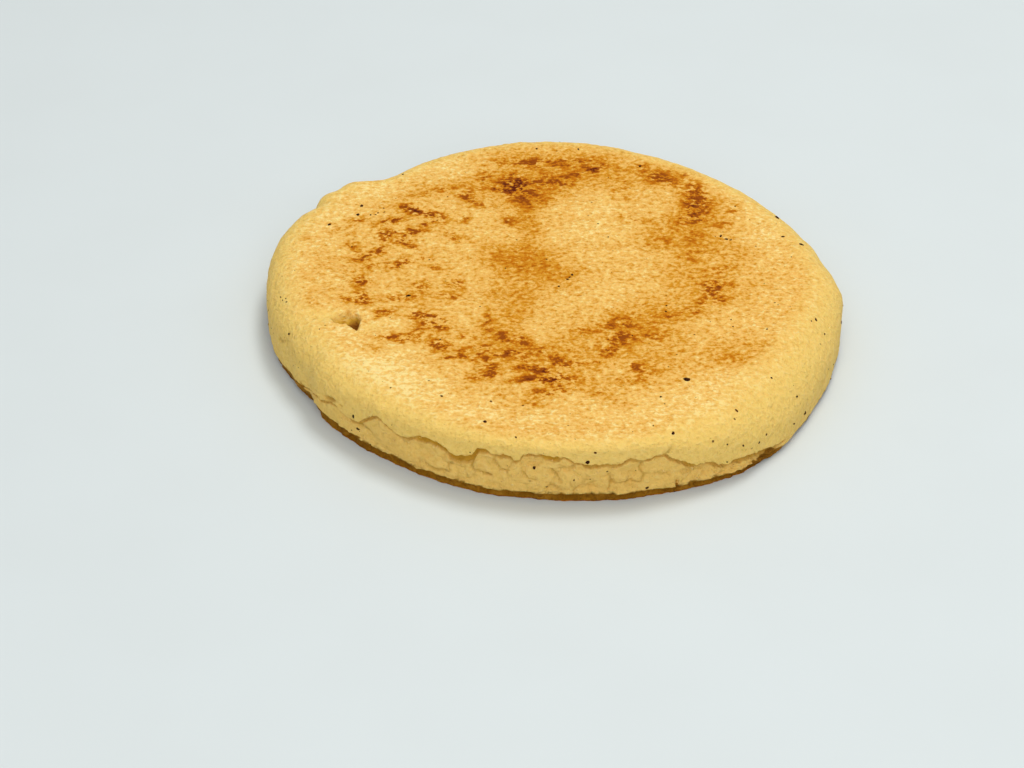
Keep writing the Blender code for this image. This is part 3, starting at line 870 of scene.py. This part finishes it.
def splits(points, clocks, radii):
    """Depth and shade of the splits at many places on the wall."""
    across_wander, height_wander = wander(points, *SPLIT_WANDER)
    heights = np.array(points)[:, 2] + height_wander
    depth = np.zeros(len(points))
    shade = np.zeros(len(points))
    for deep, *chain in SPLITS:
        middle = sum(clock for clock, _ in chain) / len(chain)
        near = np.abs(apart(clocks, middle)) < SPLIT_REACH
        radius = radii[near].mean()
        across = np.radians(apart(clocks[near], middle)) * radii[near] + across_wander[near]
        stops = [(math.radians(clock - middle) * radius, height) for clock, height in chain]
        gap = np.full(near.sum(), FAR)
        for start, end in zip(stops, stops[1:]):
            gap = np.minimum(gap, off_line(across, heights[near], start, end))
        groove = hollow(gap / SPLIT_HALF_WIDTH)
        depth[near] = np.maximum(depth[near], deep * groove)
        shade[near] = np.maximum(shade[near], min(1.0, deep) * groove)
    return depth, shade


def pocks(points, clocks, radii):
    """Depth and shade of the pocks at many places on the wall."""
    size, far, upwards = POCK_WAVER
    waver = far * field(points, size, 2, away=4.0)
    heights = np.array(points)[:, 2] + upwards * waver
    depth = np.zeros(len(points))
    shade = np.zeros(len(points))
    for centre, level, half_length, half_height, slope, deep in WALL_POCKS:
        across = np.radians(apart(clocks, centre)) * radii + waver
        away = np.hypot(across / half_length, (heights - level - slope * across) / half_height)
        share = hollow(np.minimum(away, NO_HOLLOW), POCK_STEEPNESS)
        depth += deep * share
        shade = np.maximum(shade, share)
    return depth, shade


def band_lumps(point, clock, radius):
    """Swelling and joints of the torn band at a place, and how near a joint it is."""
    push = 0.0
    near = 0.0
    warp_size, warp_far = LUMP_WARP
    for level, (width, height, joint, swell, step) in enumerate(BAND_LUMPS):
        warp = warp_far * noise.noise(point / (warp_size * width) + Vector((level, 0.0, 0.0)))
        place = Vector((radius * math.radians(clock) / width + warp, point.z / height - warp, 5.0 * level))
        distances, middles = noise.voronoi(place)
        edge = max(0.0, 1.0 - (distances[1] - distances[0]) / LUMP_JOINT)
        push += swell * (0.5 - min(1.0, distances[0] * LUMP_ROUNDNESS) ** 2)
        # Each lump steps in or out by a chance of its own
        push += step * (noise.cell(middles[0] * 9.7) - 0.5) * (1.0 - edge)
        push -= joint * edge
        near = max(near, edge * joint)
    size, middle, swing, least = LUMP_PATCHES
    patchy = middle + swing * noise.noise(point / size + Vector((4.0, 4.0, 4.0)))
    patchy = max(least, min(1.0, patchy))
    return push * patchy, near * patchy


def inside_by(x, y, rim):
    """How far places lie inside a closed outline, below zero outside it."""
    gap = np.full(len(x), FAR)
    crossings = np.zeros(len(x), dtype=int)
    for start, end in zip(rim, rim[1:] + rim[:1]):
        gap = np.minimum(gap, off_line(x, y, start, end))
        straddles = (y < start[1]) != (y < end[1])
        rise = end[1] - start[1] or 1.0
        crossings += straddles & (x < start[0] + (end[0] - start[0]) * (y - start[1]) / rise)
    return np.where(crossings % 2 == 1, gap, -gap)


def top_wear(points):
    """Depth and shade of the pit and dents at many places on the top."""
    drift_x, drift_y = wander(points, *PIT_WANDER)
    x, y, _ = np.array(points).T
    x = x + drift_x
    y = y + drift_y
    depth = np.zeros(len(points))
    shade = np.zeros(len(points))
    for centre_x, centre_y, half_x, half_y, deep, steepness in TOP_HOLLOWS:
        away = np.hypot((x - centre_x) / half_x, (y - centre_y) / half_y)
        depth += deep * hollow(np.minimum(away, NO_HOLLOW), steepness)
    near = np.hypot(x - PIT[0], y - PIT[1]) < 2.0 * PIT[2]
    in_pit = ease(ramp(inside_by(x[near], y[near], PIT_RIM), *PIT_WALL))
    corner_x, corner_y, reach = PIT_CORNER
    corner = hollow(np.hypot(x[near] - corner_x, y[near] - corner_y) / reach)
    size, height, octaves = PIT_RELIEF
    rough = field([points[number] for number in np.nonzero(near)[0]], size, octaves, away=2.0)
    depth[near] += in_pit * (PIT_DEPTH[0] + PIT_DEPTH[1] * corner + height * rough)
    shade[near] = in_pit * (PIT_SHADE[0] + PIT_SHADE[1] * corner + PIT_SHADE[2] * rough)
    return depth, shade


def wall_relief(points, clocks, torn, crevice_shade):
    """Outward push and painted crevice shade for the points of the wall."""
    x, y, heights = np.array(points).T
    radii = np.hypot(x, y)
    push = grain(points, SKIN_RELIEF) * (1.0 - torn) + grain(points, TORN_RELIEF) * torn
    joints = np.zeros(len(points))
    for i in np.nonzero(torn > LUMPY_TEARING)[0]:
        swell, joint = band_lumps(points[i], clocks[i], radii[i])
        push[i] += torn[i] * swell
        joints[i] = torn[i] * joint
    calm = 1.0 - CREVICE_CALM * crevice_shade
    push *= calm
    # Joints between the lumps are painted in the same crevice shade
    shade = np.maximum(crevice_shade, joints)
    for depth, dark in (splits(points, clocks, radii), pocks(points, clocks, radii)):
        push -= depth * calm
        shade = np.maximum(shade, dark)
    clock, height, half_width, out = FLAP
    away = np.hypot(np.radians(apart(clocks, clock)) * radii, heights - height) / half_width
    return push + out * hollow(away), shade


def relief(mesh):
    """Moves the points along their lean for splits, lumps, hollows and grain."""
    points = [vert.co / MM for vert in mesh.vertices]
    clocks, lean, shade, torn = read_marks(mesh, "clock", "lean", "crevice_shade", "torn").values()
    push = np.zeros(len(points))
    wall = np.nonzero((lean < TOP_LEAN) & (lean > NO_RELIEF_LEAN))[0]
    foot = np.nonzero((lean < 0.0) & (lean > NO_RELIEF_LEAN))[0]
    top = np.nonzero(lean >= TOP_LEAN)[0]
    wall_points, top_points, foot_points = ([points[i] for i in part] for part in (wall, top, foot))
    push[wall], shade[wall] = wall_relief(wall_points, clocks[wall], torn[wall], shade[wall])
    depth, dark = top_wear(top_points)
    push[top] = grain(top_points, TOP_RELIEF) - depth
    shade[top] = np.maximum(shade[top], dark)
    # The last rows of the shoulder carry both kinds of relief, so that no step shows
    blend = ramp(lean[wall], *SHOULDER_LEANS)
    top_like = grain(wall_points, TOP_RELIEF) + np.minimum(0.0, push[wall])
    push[wall] = push[wall] * (1.0 - blend) + top_like * blend
    push[foot] = FOOT_CALM * push[foot] + grain(foot_points, FOOT_RELIEF)
    turn = np.radians(clocks)
    tilt = np.radians(lean)
    out = np.stack([np.cos(turn) * np.cos(tilt), np.sin(turn) * np.cos(tilt), np.sin(tilt)], axis=1)
    moved = np.array(points) + out * push[:, None]
    moved[:, 2] = np.maximum(moved[:, 2], 0.0)
    mesh.vertices.foreach_set("co", (moved * MM).astype(np.float32).ravel())
    write_mark(mesh, "crevice_shade", shade)


# ---------------------------------------------------------------- browning


def patch_sum(x, y, patches, growth):
    """Sum of soft oval patches at many places, each grown by a factor."""
    total = np.zeros(len(x))
    for patch_x, patch_y, half_length, half_width, turn, strength in patches:
        cosine = math.cos(math.radians(turn))
        sine = math.sin(math.radians(turn))
        dx = x - patch_x
        dy = y - patch_y
        run = (dx * cosine + dy * sine) / (half_length * growth)
        side = (dy * cosine - dx * sine) / (half_width * growth)
        total += strength * np.exp(-(run**2 + side**2))
    return total


def griddled_share(x, y, lean, share, under):
    """How far the griddle dried each place, least in the dents that it missed."""
    crust = ramp(lean, *GRIDDLED_LEANS) * np.maximum(ramp(share, *GRIDDLED_SHARES), GRIDDLED_LEAST)
    for centre_x, centre_y, half_x, half_y, deep, _ in TOP_HOLLOWS:
        missed = min(DENT_MISS[1], DENT_MISS[0] * max(0.0, deep))
        crust *= 1.0 - missed * hollow(np.hypot((x - centre_x) / half_x, (y - centre_y) / half_y))
    return np.maximum(crust, under)


def browned_and_shaded_foot(points, clocks, lean):
    """How brown the foot is, where fat gathered round the edge of the cake, darkened with painted shade of
    the contact under the overhang.
    """
    stations = np.linspace(0.0, 360.0, COLUMNS + 1)
    edge = np.interp(clocks, stations, [foot_top(clock) for clock in stations])
    size, far = FOOT_BROWNING_AND_SHADE
    reach = edge + far * field(points, size, 3, away=5.0) - np.array(points)[:, 2]
    return ramp(reach, *FOOT_FADE) * (np.abs(lean) < TOP_LEAN)


def browning(mesh):
    """Marks toast, blots, griddled crust, and the browned foot with its painted shade, on every point of
    the skin.
    """
    points = [vert.co / MM for vert in mesh.vertices]
    clocks, lean, share = read_marks(mesh, "clock", "lean", "share").values()
    drift_x, drift_y = wander(points, *TOAST_WANDER)
    x, y, _ = np.array(points).T
    x = x + drift_x
    y = y + drift_y
    upper = ramp(lean, *TOASTED_LEANS)
    under = ramp(lean, *UNDER_LEANS)
    toast = FLAT_TOAST * ramp(share, *FLAT_SHARES) + SMEAR_STRENGTH * patch_sum(x, y, SMEARS, 1.0)
    toast += HALO[1] * patch_sum(x, y, BROWNING, HALO[0])
    blots = BLOTS[1] * patch_sum(x, y, BROWNING, BLOTS[0])
    even, swing, size, under_blots = UNDER_TOAST
    write_mark(mesh, "toast", toast * upper + under * (even + swing * field(points, size, 3)))
    write_mark(mesh, "blots", blots * upper + under * under_blots)
    write_mark(mesh, "griddled", griddled_share(x, y, lean, share, under))
    write_mark(mesh, "foot", browned_and_shaded_foot(points, clocks, lean))


# ---------------------------------------------------------------- meshes


def add_object(name, data):
    """Puts an object in the scene."""
    item = bpy.data.objects.new(name, data)
    bpy.context.scene.collection.objects.link(item)
    return item


def mesh_object(name, mesh):
    """Puts a smooth mesh in the scene."""
    mesh.polygons.foreach_set("use_smooth", [True] * len(mesh.polygons))
    return add_object(name, mesh)


def work_object(name, work):
    """Puts a mesh that was made piece by piece in the scene."""
    mesh = bpy.data.meshes.new(name)
    work.to_mesh(mesh)
    work.free()
    return mesh_object(name, mesh)


def add_chip(work, place, outward, size, flatness, seed):
    """Adds one irregular chip that lies in a surface."""
    ball = bmesh.ops.create_icosphere(work, subdivisions=CHIP_DETAIL, radius=0.5)["verts"]
    dice = random.Random(seed)
    turn = outward.to_track_quat("Z", "Y").to_matrix().to_4x4()
    spin = Matrix.Rotation(dice.uniform(0.0, math.tau), 4, "Z")
    shape = Matrix.Diagonal((size, size * dice.uniform(*CHIP_WIDTHS), size * flatness, 1.0))
    ragged, fineness = CHIP_RAGGEDNESS
    for vert in ball:
        vert.co *= 1.0 + ragged * noise.noise(vert.co * fineness + Vector((seed, 0.0, 0.0)))
    bmesh.ops.transform(work, matrix=Matrix.Translation(place) @ turn @ spin @ shape, verts=ball)


def chips_object(name, chips, flatness):
    """One mesh of many chips: (place, outward, size)."""
    work = bmesh.new()
    for seed, (place, outward, size) in enumerate(chips):
        add_chip(work, place, outward, size, flatness, seed)
    return work_object(name, work)


def skin_tree(mesh):
    """A search tree of the skin's surface."""
    spots = [vert.co.copy() for vert in mesh.vertices]
    return BVHTree.FromPolygons(spots, [tuple(face.vertices) for face in mesh.polygons])


def on_top(tree, x, y):
    """The surface straight under a place above the cake."""
    place, outward, _, _ = tree.ray_cast(Vector((x, y, ABOVE)) * MM, Vector((0.0, 0.0, -1.0)))
    return place, outward


def on_wall(mesh, marks, clock, height):
    """The point of the wall nearest to a clock and height."""
    away = np.hypot(np.radians(apart(marks["clock"], clock)) * SPECK_REACH, marks["height"] - height)
    away[(marks["lean"] > SPECK_LEAN) | (marks["crevice_shade"] > SPECK_SHADE)] = FAR
    vert = mesh.vertices[int(away.argmin())]
    return vert.co.copy(), vert.normal.copy()


# ---------------------------------------------------------------- materials


def add_node(tree, kind, inputs=None, **settings):
    """Adds a node, sets it up and fills its inputs with values or links."""
    node = tree.nodes.new(kind)
    for name, value in settings.items():
        setattr(node, name, value)
    for key, value in (inputs or {}).items():
        if isinstance(value, bpy.types.NodeSocket):
            tree.links.new(value, node.inputs[key])
        else:
            node.inputs[key].default_value = value
    return node


def per(size):
    """Texture scale for features of a real size in millimetres."""
    return 1.0 / (size * MM)


def new_material(name):
    """An empty material, its nodes, and the place on the object that its patterns follow."""
    material = bpy.data.materials.new(name)
    material.use_nodes = True
    tree = material.node_tree
    tree.nodes.clear()
    return material, tree, add_node(tree, "ShaderNodeTexCoord").outputs["Object"]


def finish_material(tree, inputs):
    """Ends a material in its shader."""
    shader = add_node(tree, "ShaderNodeBsdfPrincipled", inputs)
    add_node(tree, "ShaderNodeOutputMaterial", {"Surface": shader.outputs["BSDF"]})


def layered(tree, colour, layers):
    """Lays colours over each other.

    Layers are (what drives it, where it starts, where it is full, strength, colour).
    """
    for driver, start, full, strength, over in layers:
        reach = {"Value": driver, "From Min": start, "From Max": full, "To Max": strength}
        share = add_node(tree, "ShaderNodeMapRange", reach, interpolation_type="SMOOTHSTEP")
        mix = add_node(tree, "ShaderNodeMix", {0: share.outputs[0], 6: colour, 7: over}, data_type="RGBA")
        colour = mix.outputs[2]
    return colour


def summed(tree, total, parts):
    """A total with parts added to it: (what is added, by how much)."""
    for part, weight in parts:
        inputs = {0: part, 1: weight, 2: total}
        total = add_node(tree, "ShaderNodeMath", inputs, operation="MULTIPLY_ADD").outputs[0]
    return total


def soft_dough(scale):
    """Lets light into the dough a little way, red furthest; the scale is in millimetres."""
    return {
        "Subsurface Weight": 0.12,
        "Subsurface Radius": (1.0, 0.55, 0.2),
        "Subsurface Scale": scale * MM,
    }


# Grain of the crust: name, size in millimetres, detail, roughness. Cornmeal grains are 0.3 to 0.6 mm across
# and stand in clumps of 1 to 2 mm; the dough dries unevenly in clouds; blots are 1 to 3 mm long.
CRUST_GRAIN = (
    ("grain", 0.8, 2.0, 0.6),
    ("clumps", 1.5, 2.0, 0.6),
    ("cloud", 7.0, 3.0, 0.6),
    ("drift", 22.0, 2.0, 0.5),
    ("blot", 3.2, 4.0, 0.6),
    ("fleck", 1.0, 2.0, 0.6),
)


def crust_patterns(tree, place):
    """The marks on the skin and the noises that the crust's colours follow."""
    marks = {}
    for label in ("toast", "blots", "griddled", "crevice_shade", "torn", "foot"):
        marks[label] = add_node(tree, "ShaderNodeAttribute", attribute_name=label).outputs["Fac"]
    # The griddle's rub draws everything out a little
    rub = {"Vector": place, "Scale": (0.86, 1.0, 1.0)}
    rubbed = add_node(tree, "ShaderNodeMapping", rub).outputs["Vector"]
    for label, size, detail, roughness in CRUST_GRAIN:
        inputs = {"Vector": rubbed, "Scale": per(size), "Detail": detail, "Roughness": roughness}
        marks[label] = add_node(tree, "ShaderNodeTexNoise", inputs).outputs["Fac"]
    marks["meal"] = summed(tree, 0.0, ((marks["grain"], 0.45), (marks["clumps"], 0.55)))
    marks["strokes"] = summed(tree, 0.0, ((marks["blot"], 0.58), (marks["fleck"], 0.42)))
    # Pinholes painted in shade, one to every 2 mm or so
    pinholes = {"Vector": place, "Scale": per(2.1)}
    marks["pores"] = add_node(tree, "ShaderNodeTexVoronoi", pinholes).outputs["Distance"]
    return marks


def toasted(tree, marks, colours):
    """Colour of the crust where it met the griddle."""
    # Blots are crisp strokes: none below the middle of the noise, more than double above it
    strokes = {"Value": marks["strokes"], "From Min": 0.46, "From Max": 0.58, "To Min": 0.05, "To Max": 2.3}
    crisp = add_node(tree, "ShaderNodeMapRange", strokes).outputs[0]
    # Level of browning: haze, blots, and the meal that stands proud and stays pale
    parts = ((marks["blots"], crisp), (marks["meal"], -4.6), (marks["cloud"], 0.9))
    level = summed(tree, marks["toast"], parts)
    level = add_node(tree, "ShaderNodeMath", {0: level, 1: 1.85}, operation="ADD").outputs[0]
    layers = (
        (level, -0.45, 0.0, 1.0, colours.griddled),
        (level, 0.0, 0.5, 1.0, colours.warm),
        (level, 0.45, 1.0, 1.0, colours.golden),
        (level, 1.0, 1.5, 1.0, colours.brown),
        (level, 1.5, 2.4, 1.0, colours.dark),
        (level, 3.0, 4.5, 1.0, colours.char),
    )
    return layered(tree, linear("#FEE092"), layers)


def crust_colour(tree, marks, colours):
    """Colour of the whole skin, from the pale dough up."""
    # Tones of the foot's browning, darkened with painted shade of the contact under the overhang
    foot_brown_and_shade_tones = (
        (marks["cloud"], 0.46, 0.64, 0.6, linear("#A87418")),
        (marks["blot"], 0.5, 0.64, 0.5, linear("#B98226")),
        (marks["fleck"], 0.5, 0.36, 0.5, linear("#5E3A08")),
    )
    layers = (
        (marks["drift"], 0.5, 0.75, 0.25, linear("#F6CE78")),
        (marks["torn"], 0.0, 1.0, 0.85, colours.torn),
        (marks["meal"], 0.50, 0.62, 0.25, linear("#F8D888")),
        (marks["meal"], 0.50, 0.39, 0.2, linear("#CFA045")),
        (marks["griddled"], 0.05, 0.95, 1.0, toasted(tree, marks, colours)),
        # Painted shade: darker dough in the joints, splits, pocks and along the cracks
        (marks["crevice_shade"], 0.15, 0.75, 0.55, colours.crevice_shade),
        # Painted deep shade over the moist amber dough inside wide cracks and the pit
        (marks["crevice_shade"], 0.7, 1.0, 0.9, colours.moist_and_shade),
        # Painted shadow in the deepest corner of the pit
        (marks["crevice_shade"], 0.95, 1.8, 0.9, linear("#7A3E02")),
        # The foot's browned ring, darkened with painted shade of the contact under the overhang
        (marks["foot"], 0.05, 0.9, 0.95, layered(tree, linear("#8B5C0A"), foot_brown_and_shade_tones)),
        # Painted shade in the pinholes
        (marks["pores"], 0.12, 0.05, 0.3, linear("#8A5A20")),
    )
    return layered(tree, colours.dough, layers)


def crust_material(colours):
    """Griddled maize crust.

    Cornmeal pressed into dough and dried on hot iron: matt yellow with a grain of pale and golden meal,
    a golden haze and crisp brown blots where it touched the iron, moist amber under painted shade in the
    cracks and the pit, painted shade in joints and pinholes, and a browned foot darkened with painted
    shade.
    """
    material, tree, place = new_material("griddled_maize_crust")
    marks = crust_patterns(tree, place)
    bumps = {}
    for label, depth in (("grain", 0.4), ("clumps", 0.75)):
        bumps.update({"Height": marks[label], "Strength": 0.9, "Distance": depth * MM})
        bumps["Normal"] = add_node(tree, "ShaderNodeBump", bumps).outputs["Normal"]
    # Meal that stands proud is rubbed smoother than the hollows between
    rub = {"Value": marks["meal"], "From Min": 0.35, "From Max": 0.65, "To Min": 0.8, "To Max": 0.6}
    roughness = add_node(tree, "ShaderNodeMapRange", rub).outputs[0]
    # A dry, dusty face scatters most of its sheen away
    sheen = {"IOR": 1.45, "Specular IOR Level": 0.1}
    colour = crust_colour(tree, marks, colours)
    surface = {"Base Color": colour, "Roughness": roughness, "Normal": bumps["Normal"]}
    finish_material(tree, {**surface, **sheen, **soft_dough(0.6)})
    return material


def grained_material(name, size, base, tones, surface, bump=None):
    """A material with one grain of a real size in millimetres, which drives its tones and its bump.

    Tones are (where it starts, where it is full, strength, hex colour), and a bump is (strength, depth in
    millimetres).
    """
    material, tree, place = new_material(name)
    inputs = {"Vector": place, "Scale": per(size), "Detail": 2.0}
    speckle = add_node(tree, "ShaderNodeTexNoise", inputs).outputs["Fac"]
    layers = [(speckle, *reach, linear(over)) for *reach, over in tones]
    surface["Base Color"] = layered(tree, base, layers)
    if bump:
        inputs = {"Height": speckle, "Strength": bump[0], "Distance": bump[1] * MM}
        surface["Normal"] = add_node(tree, "ShaderNodeBump", inputs).outputs["Normal"]
    finish_material(tree, surface)
    return material


def bran_material(colours):
    """Scorched bran: hard dark tips of the maize grain with a paler brown edge."""
    # The flakes are patchy at about 0.4 mm, drawn a little coarser so that it shows
    tones = ((0.42, 0.62, 0.7, "#6E3C0C"),)
    surface = {"Roughness": 0.85, "Specular IOR Level": 0.1}
    return grained_material("scorched_maize_bran", 0.6, colours.bran, tones, surface, (0.4, 0.1))


def crumb_material(colours):
    """Torn cooked maize dough: soft matt crumbs, paler on their high sides."""
    # Grain of cornmeal, 0.3 to 0.6 mm, drawn a little coarser so that it shows
    tones = ((0.5, 0.7, 0.6, "#EFD08A"), (0.5, 0.35, 0.5, "#C99A48"))
    surface = {"Roughness": 0.7, **soft_dough(1.0)}
    return grained_material("torn_maize_crumb", 0.7, colours.torn, tones, surface, (0.5, 0.15))


def floor_material(stage):
    """Matt painted board: a plain pale sweep with the faintest mottle."""
    # Roller mottle of about 40 mm
    tones = ((0.3, 0.8, 0.08, "#C9CDC9"),)
    return grained_material("matt_painted_board", 40.0, stage.floor, tones, {"Roughness": 0.8})


# ---------------------------------------------------------------- operators


def hand_in(piece, material):
    """Gives a piece of the cake its material and body."""
    piece.data.materials.append(material)
    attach(piece, "root")


class CORNCAKE_OT_crust(bpy.types.Operator):
    """Builds the cake's skin with its cracks, pit, relief and browning"""

    bl_idname = "corn_cake.crust"
    bl_label = "Crust"

    def execute(self, context):
        sizes = context.scene.corn_cake_sizes
        thickness = sizes.thickness / MM
        skin = Skin()
        columns = build_wall(skin, sizes)
        build_disc(skin, [column[-1] for column in columns], TOP_ZONES, TOP_MAP, True, thickness)
        build_disc(skin, [column[0] for column in columns], UNDER_ZONES, UNDER_MAP, False, thickness)
        shift_onto_solid(skin)
        mesh = skin_mesh(skin)
        cut_finer(mesh, *PIT)
        relief(mesh)
        browning(mesh)
        mesh.update()
        if mesh.validate():
            raise RuntimeError("the skin had faulty faces")
        cake = mesh_object("cake_crust", mesh)
        hand_in(cake, crust_material(context.scene.corn_cake_colours))
        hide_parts("arepa")
        return {"FINISHED"}


class CORNCAKE_OT_bran(bpy.types.Operator):
    """Lays scorched bran specks in the crust"""

    bl_idname = "corn_cake.bran"
    bl_label = "Bran specks"

    def execute(self, context):
        sizes = context.scene.corn_cake_sizes
        mesh = bpy.data.objects["cake_crust"].data
        tree = skin_tree(mesh)
        marks = read_marks(mesh, "clock", "lean", "crevice_shade")
        marks["height"] = np.array([vert.co.z for vert in mesh.vertices]) / MM
        dice = random.Random(BRAN_SEED)
        places = [(on_top(tree, x, y), size) for x, y, size in TOP_BRAN]
        places += [(on_wall(mesh, marks, clock, height), size) for clock, height, size in WALL_BRAN]
        for _ in range(sizes.bran_count):
            size = FINE_BRAN[0] + FINE_BRAN[1] * dice.random() ** 2
            clock = dice.uniform(0.0, 360.0)
            if dice.random() < BRAN_ON_TOP:
                point = spot(clock, SPECK_REACH * math.sqrt(dice.random()), 0.0)
                places.append((on_top(tree, point.x, point.y), size))
            else:
                places.append((on_wall(mesh, marks, clock, dice.uniform(*BRAN_HEIGHTS)), size))
        scale = sizes.bran_scale * MM
        chips = [(place, outward, size * scale) for (place, outward), size in places if place is not None]
        specks = chips_object("bran_specks", chips, BRAN_FLATNESS)
        hand_in(specks, bran_material(context.scene.corn_cake_colours))
        return {"FINISHED"}


class CORNCAKE_OT_crumbs(bpy.types.Operator):
    """Scatters crumbs that cling to the torn band"""

    bl_idname = "corn_cake.crumbs"
    bl_label = "Crumbs"

    def execute(self, context):
        mesh = bpy.data.objects["cake_crust"].data
        foot, torn = read_marks(mesh, "foot", "torn").values()
        candidates = np.nonzero((torn > CRUMB_TEARING) & (foot < CRUMB_CLEAR))[0].tolist()
        dice = random.Random(CRUMB_SEED)
        chips = []
        for number in dice.sample(candidates, context.scene.corn_cake_sizes.crumb_count):
            vert = mesh.vertices[number]
            size = (CRUMB_SIZES[0] + CRUMB_SIZES[1] * dice.random() ** 3) * MM
            chips.append((vert.co - vert.normal * CRUMB_SINK * size, vert.normal.copy(), size))
        crumbs = chips_object("torn_crumbs", chips, CRUMB_FLATNESS)
        hand_in(crumbs, crumb_material(context.scene.corn_cake_colours))
        return {"FINISHED"}


class CORNCAKE_OT_stage(bpy.types.Operator):
    """Sets up the floor, the soft lights and the camera"""

    bl_idname = "corn_cake.stage"
    bl_label = "Stage"

    def execute(self, context):
        stage = context.scene.corn_cake_stage
        radius, segments = FLOOR
        work = bmesh.new()
        bmesh.ops.create_circle(work, cap_ends=True, segments=segments, radius=radius)
        floor = work_object("floor", work)
        floor.data.materials.append(floor_material(stage))
        for (name, place, width), power in zip(LIGHTS, (stage.key_power, stage.fill_power)):
            self.add_light(name, place, width, power)
        self.add_surroundings(context, stage)
        self.add_camera(context)
        return {"FINISHED"}

    def add_light(self, name, place, width, power):
        """A square soft light that faces the cake."""
        light = bpy.data.lights.new(name, "AREA")
        light.size = width
        light.energy = power
        item = add_object(name, light)
        item.location = place
        item.rotation_euler = Vector(place).to_track_quat("Z", "Y").to_euler()

    def add_surroundings(self, context, stage):
        """Pale light from all round, dimmer near the level of the table."""
        world = bpy.data.worlds.new("surroundings")
        world.use_nodes = True
        tree = world.node_tree
        backdrop = tree.nodes["Background"]
        place = add_node(tree, "ShaderNodeTexCoord").outputs["Generated"]
        height = add_node(tree, "ShaderNodeSeparateXYZ", {"Vector": place}).outputs["Z"]
        colour = layered(tree, linear("#8A8B8C"), ((height, 0.05, 0.6, 1.0, linear("#F4F6F8")),))
        tree.links.new(colour, backdrop.inputs["Color"])
        backdrop.inputs["Strength"].default_value = stage.sky
        context.scene.world = world
        context.scene.view_settings.view_transform = "Standard"

    def add_camera(self, context):
        """A long lens from the front, looking down on the cake."""
        camera = bpy.data.cameras.new("camera")
        camera.lens = CAMERA_LENS
        camera.sensor_width = CAMERA_SENSOR
        item = add_object("camera", camera)
        item.location = [distance * MM for distance in CAMERA_PLACE]
        item.rotation_euler = (math.radians(90.0 - CAMERA_DOWN), 0.0, 0.0)
        context.scene.camera = item


class CORNCAKE_PT_panel(bpy.types.Panel):
    """Sizes, colours and pieces of the corn cake"""

    bl_label = "Corn Cake"
    bl_idname = "CORNCAKE_PT_panel"
    bl_space_type = "VIEW_3D"
    bl_region_type = "UI"
    bl_category = "Corn Cake"

    def draw(self, context):
        scene = context.scene
        for group in (scene.corn_cake_sizes, scene.corn_cake_colours, scene.corn_cake_stage):
            for name in group.bl_rna.properties.keys():
                if name not in {"rna_type", "name"}:
                    self.layout.prop(group, name)
        for operator in PIECES:
            self.layout.operator(operator.bl_idname)


PIECES = (CORNCAKE_OT_crust, CORNCAKE_OT_bran, CORNCAKE_OT_crumbs, CORNCAKE_OT_stage)
GROUPS = {
    "corn_cake_sizes": CornCakeSizes,
    "corn_cake_colours": CornCakeColours,
    "corn_cake_stage": CornCakeStage,
}


def register():
    """Makes the properties, operators and panel known to Blender."""
    for name, group in GROUPS.items():
        bpy.utils.register_class(group)
        setattr(bpy.types.Scene, name, bpy.props.PointerProperty(type=group))
    for item in (*PIECES, CORNCAKE_PT_panel):
        bpy.utils.register_class(item)


def unregister():
    """Takes them away again."""
    for item in (CORNCAKE_PT_panel, *PIECES):
        bpy.utils.unregister_class(item)
    for name, group in GROUPS.items():
        delattr(bpy.types.Scene, name)
        bpy.utils.unregister_class(group)


def main():
    """Builds every piece in order."""
    register()
    bpy.ops.corn_cake.crust()
    bpy.ops.corn_cake.bran()
    bpy.ops.corn_cake.crumbs()
    bpy.ops.corn_cake.stage()


if __name__ == "__main__":
    main()
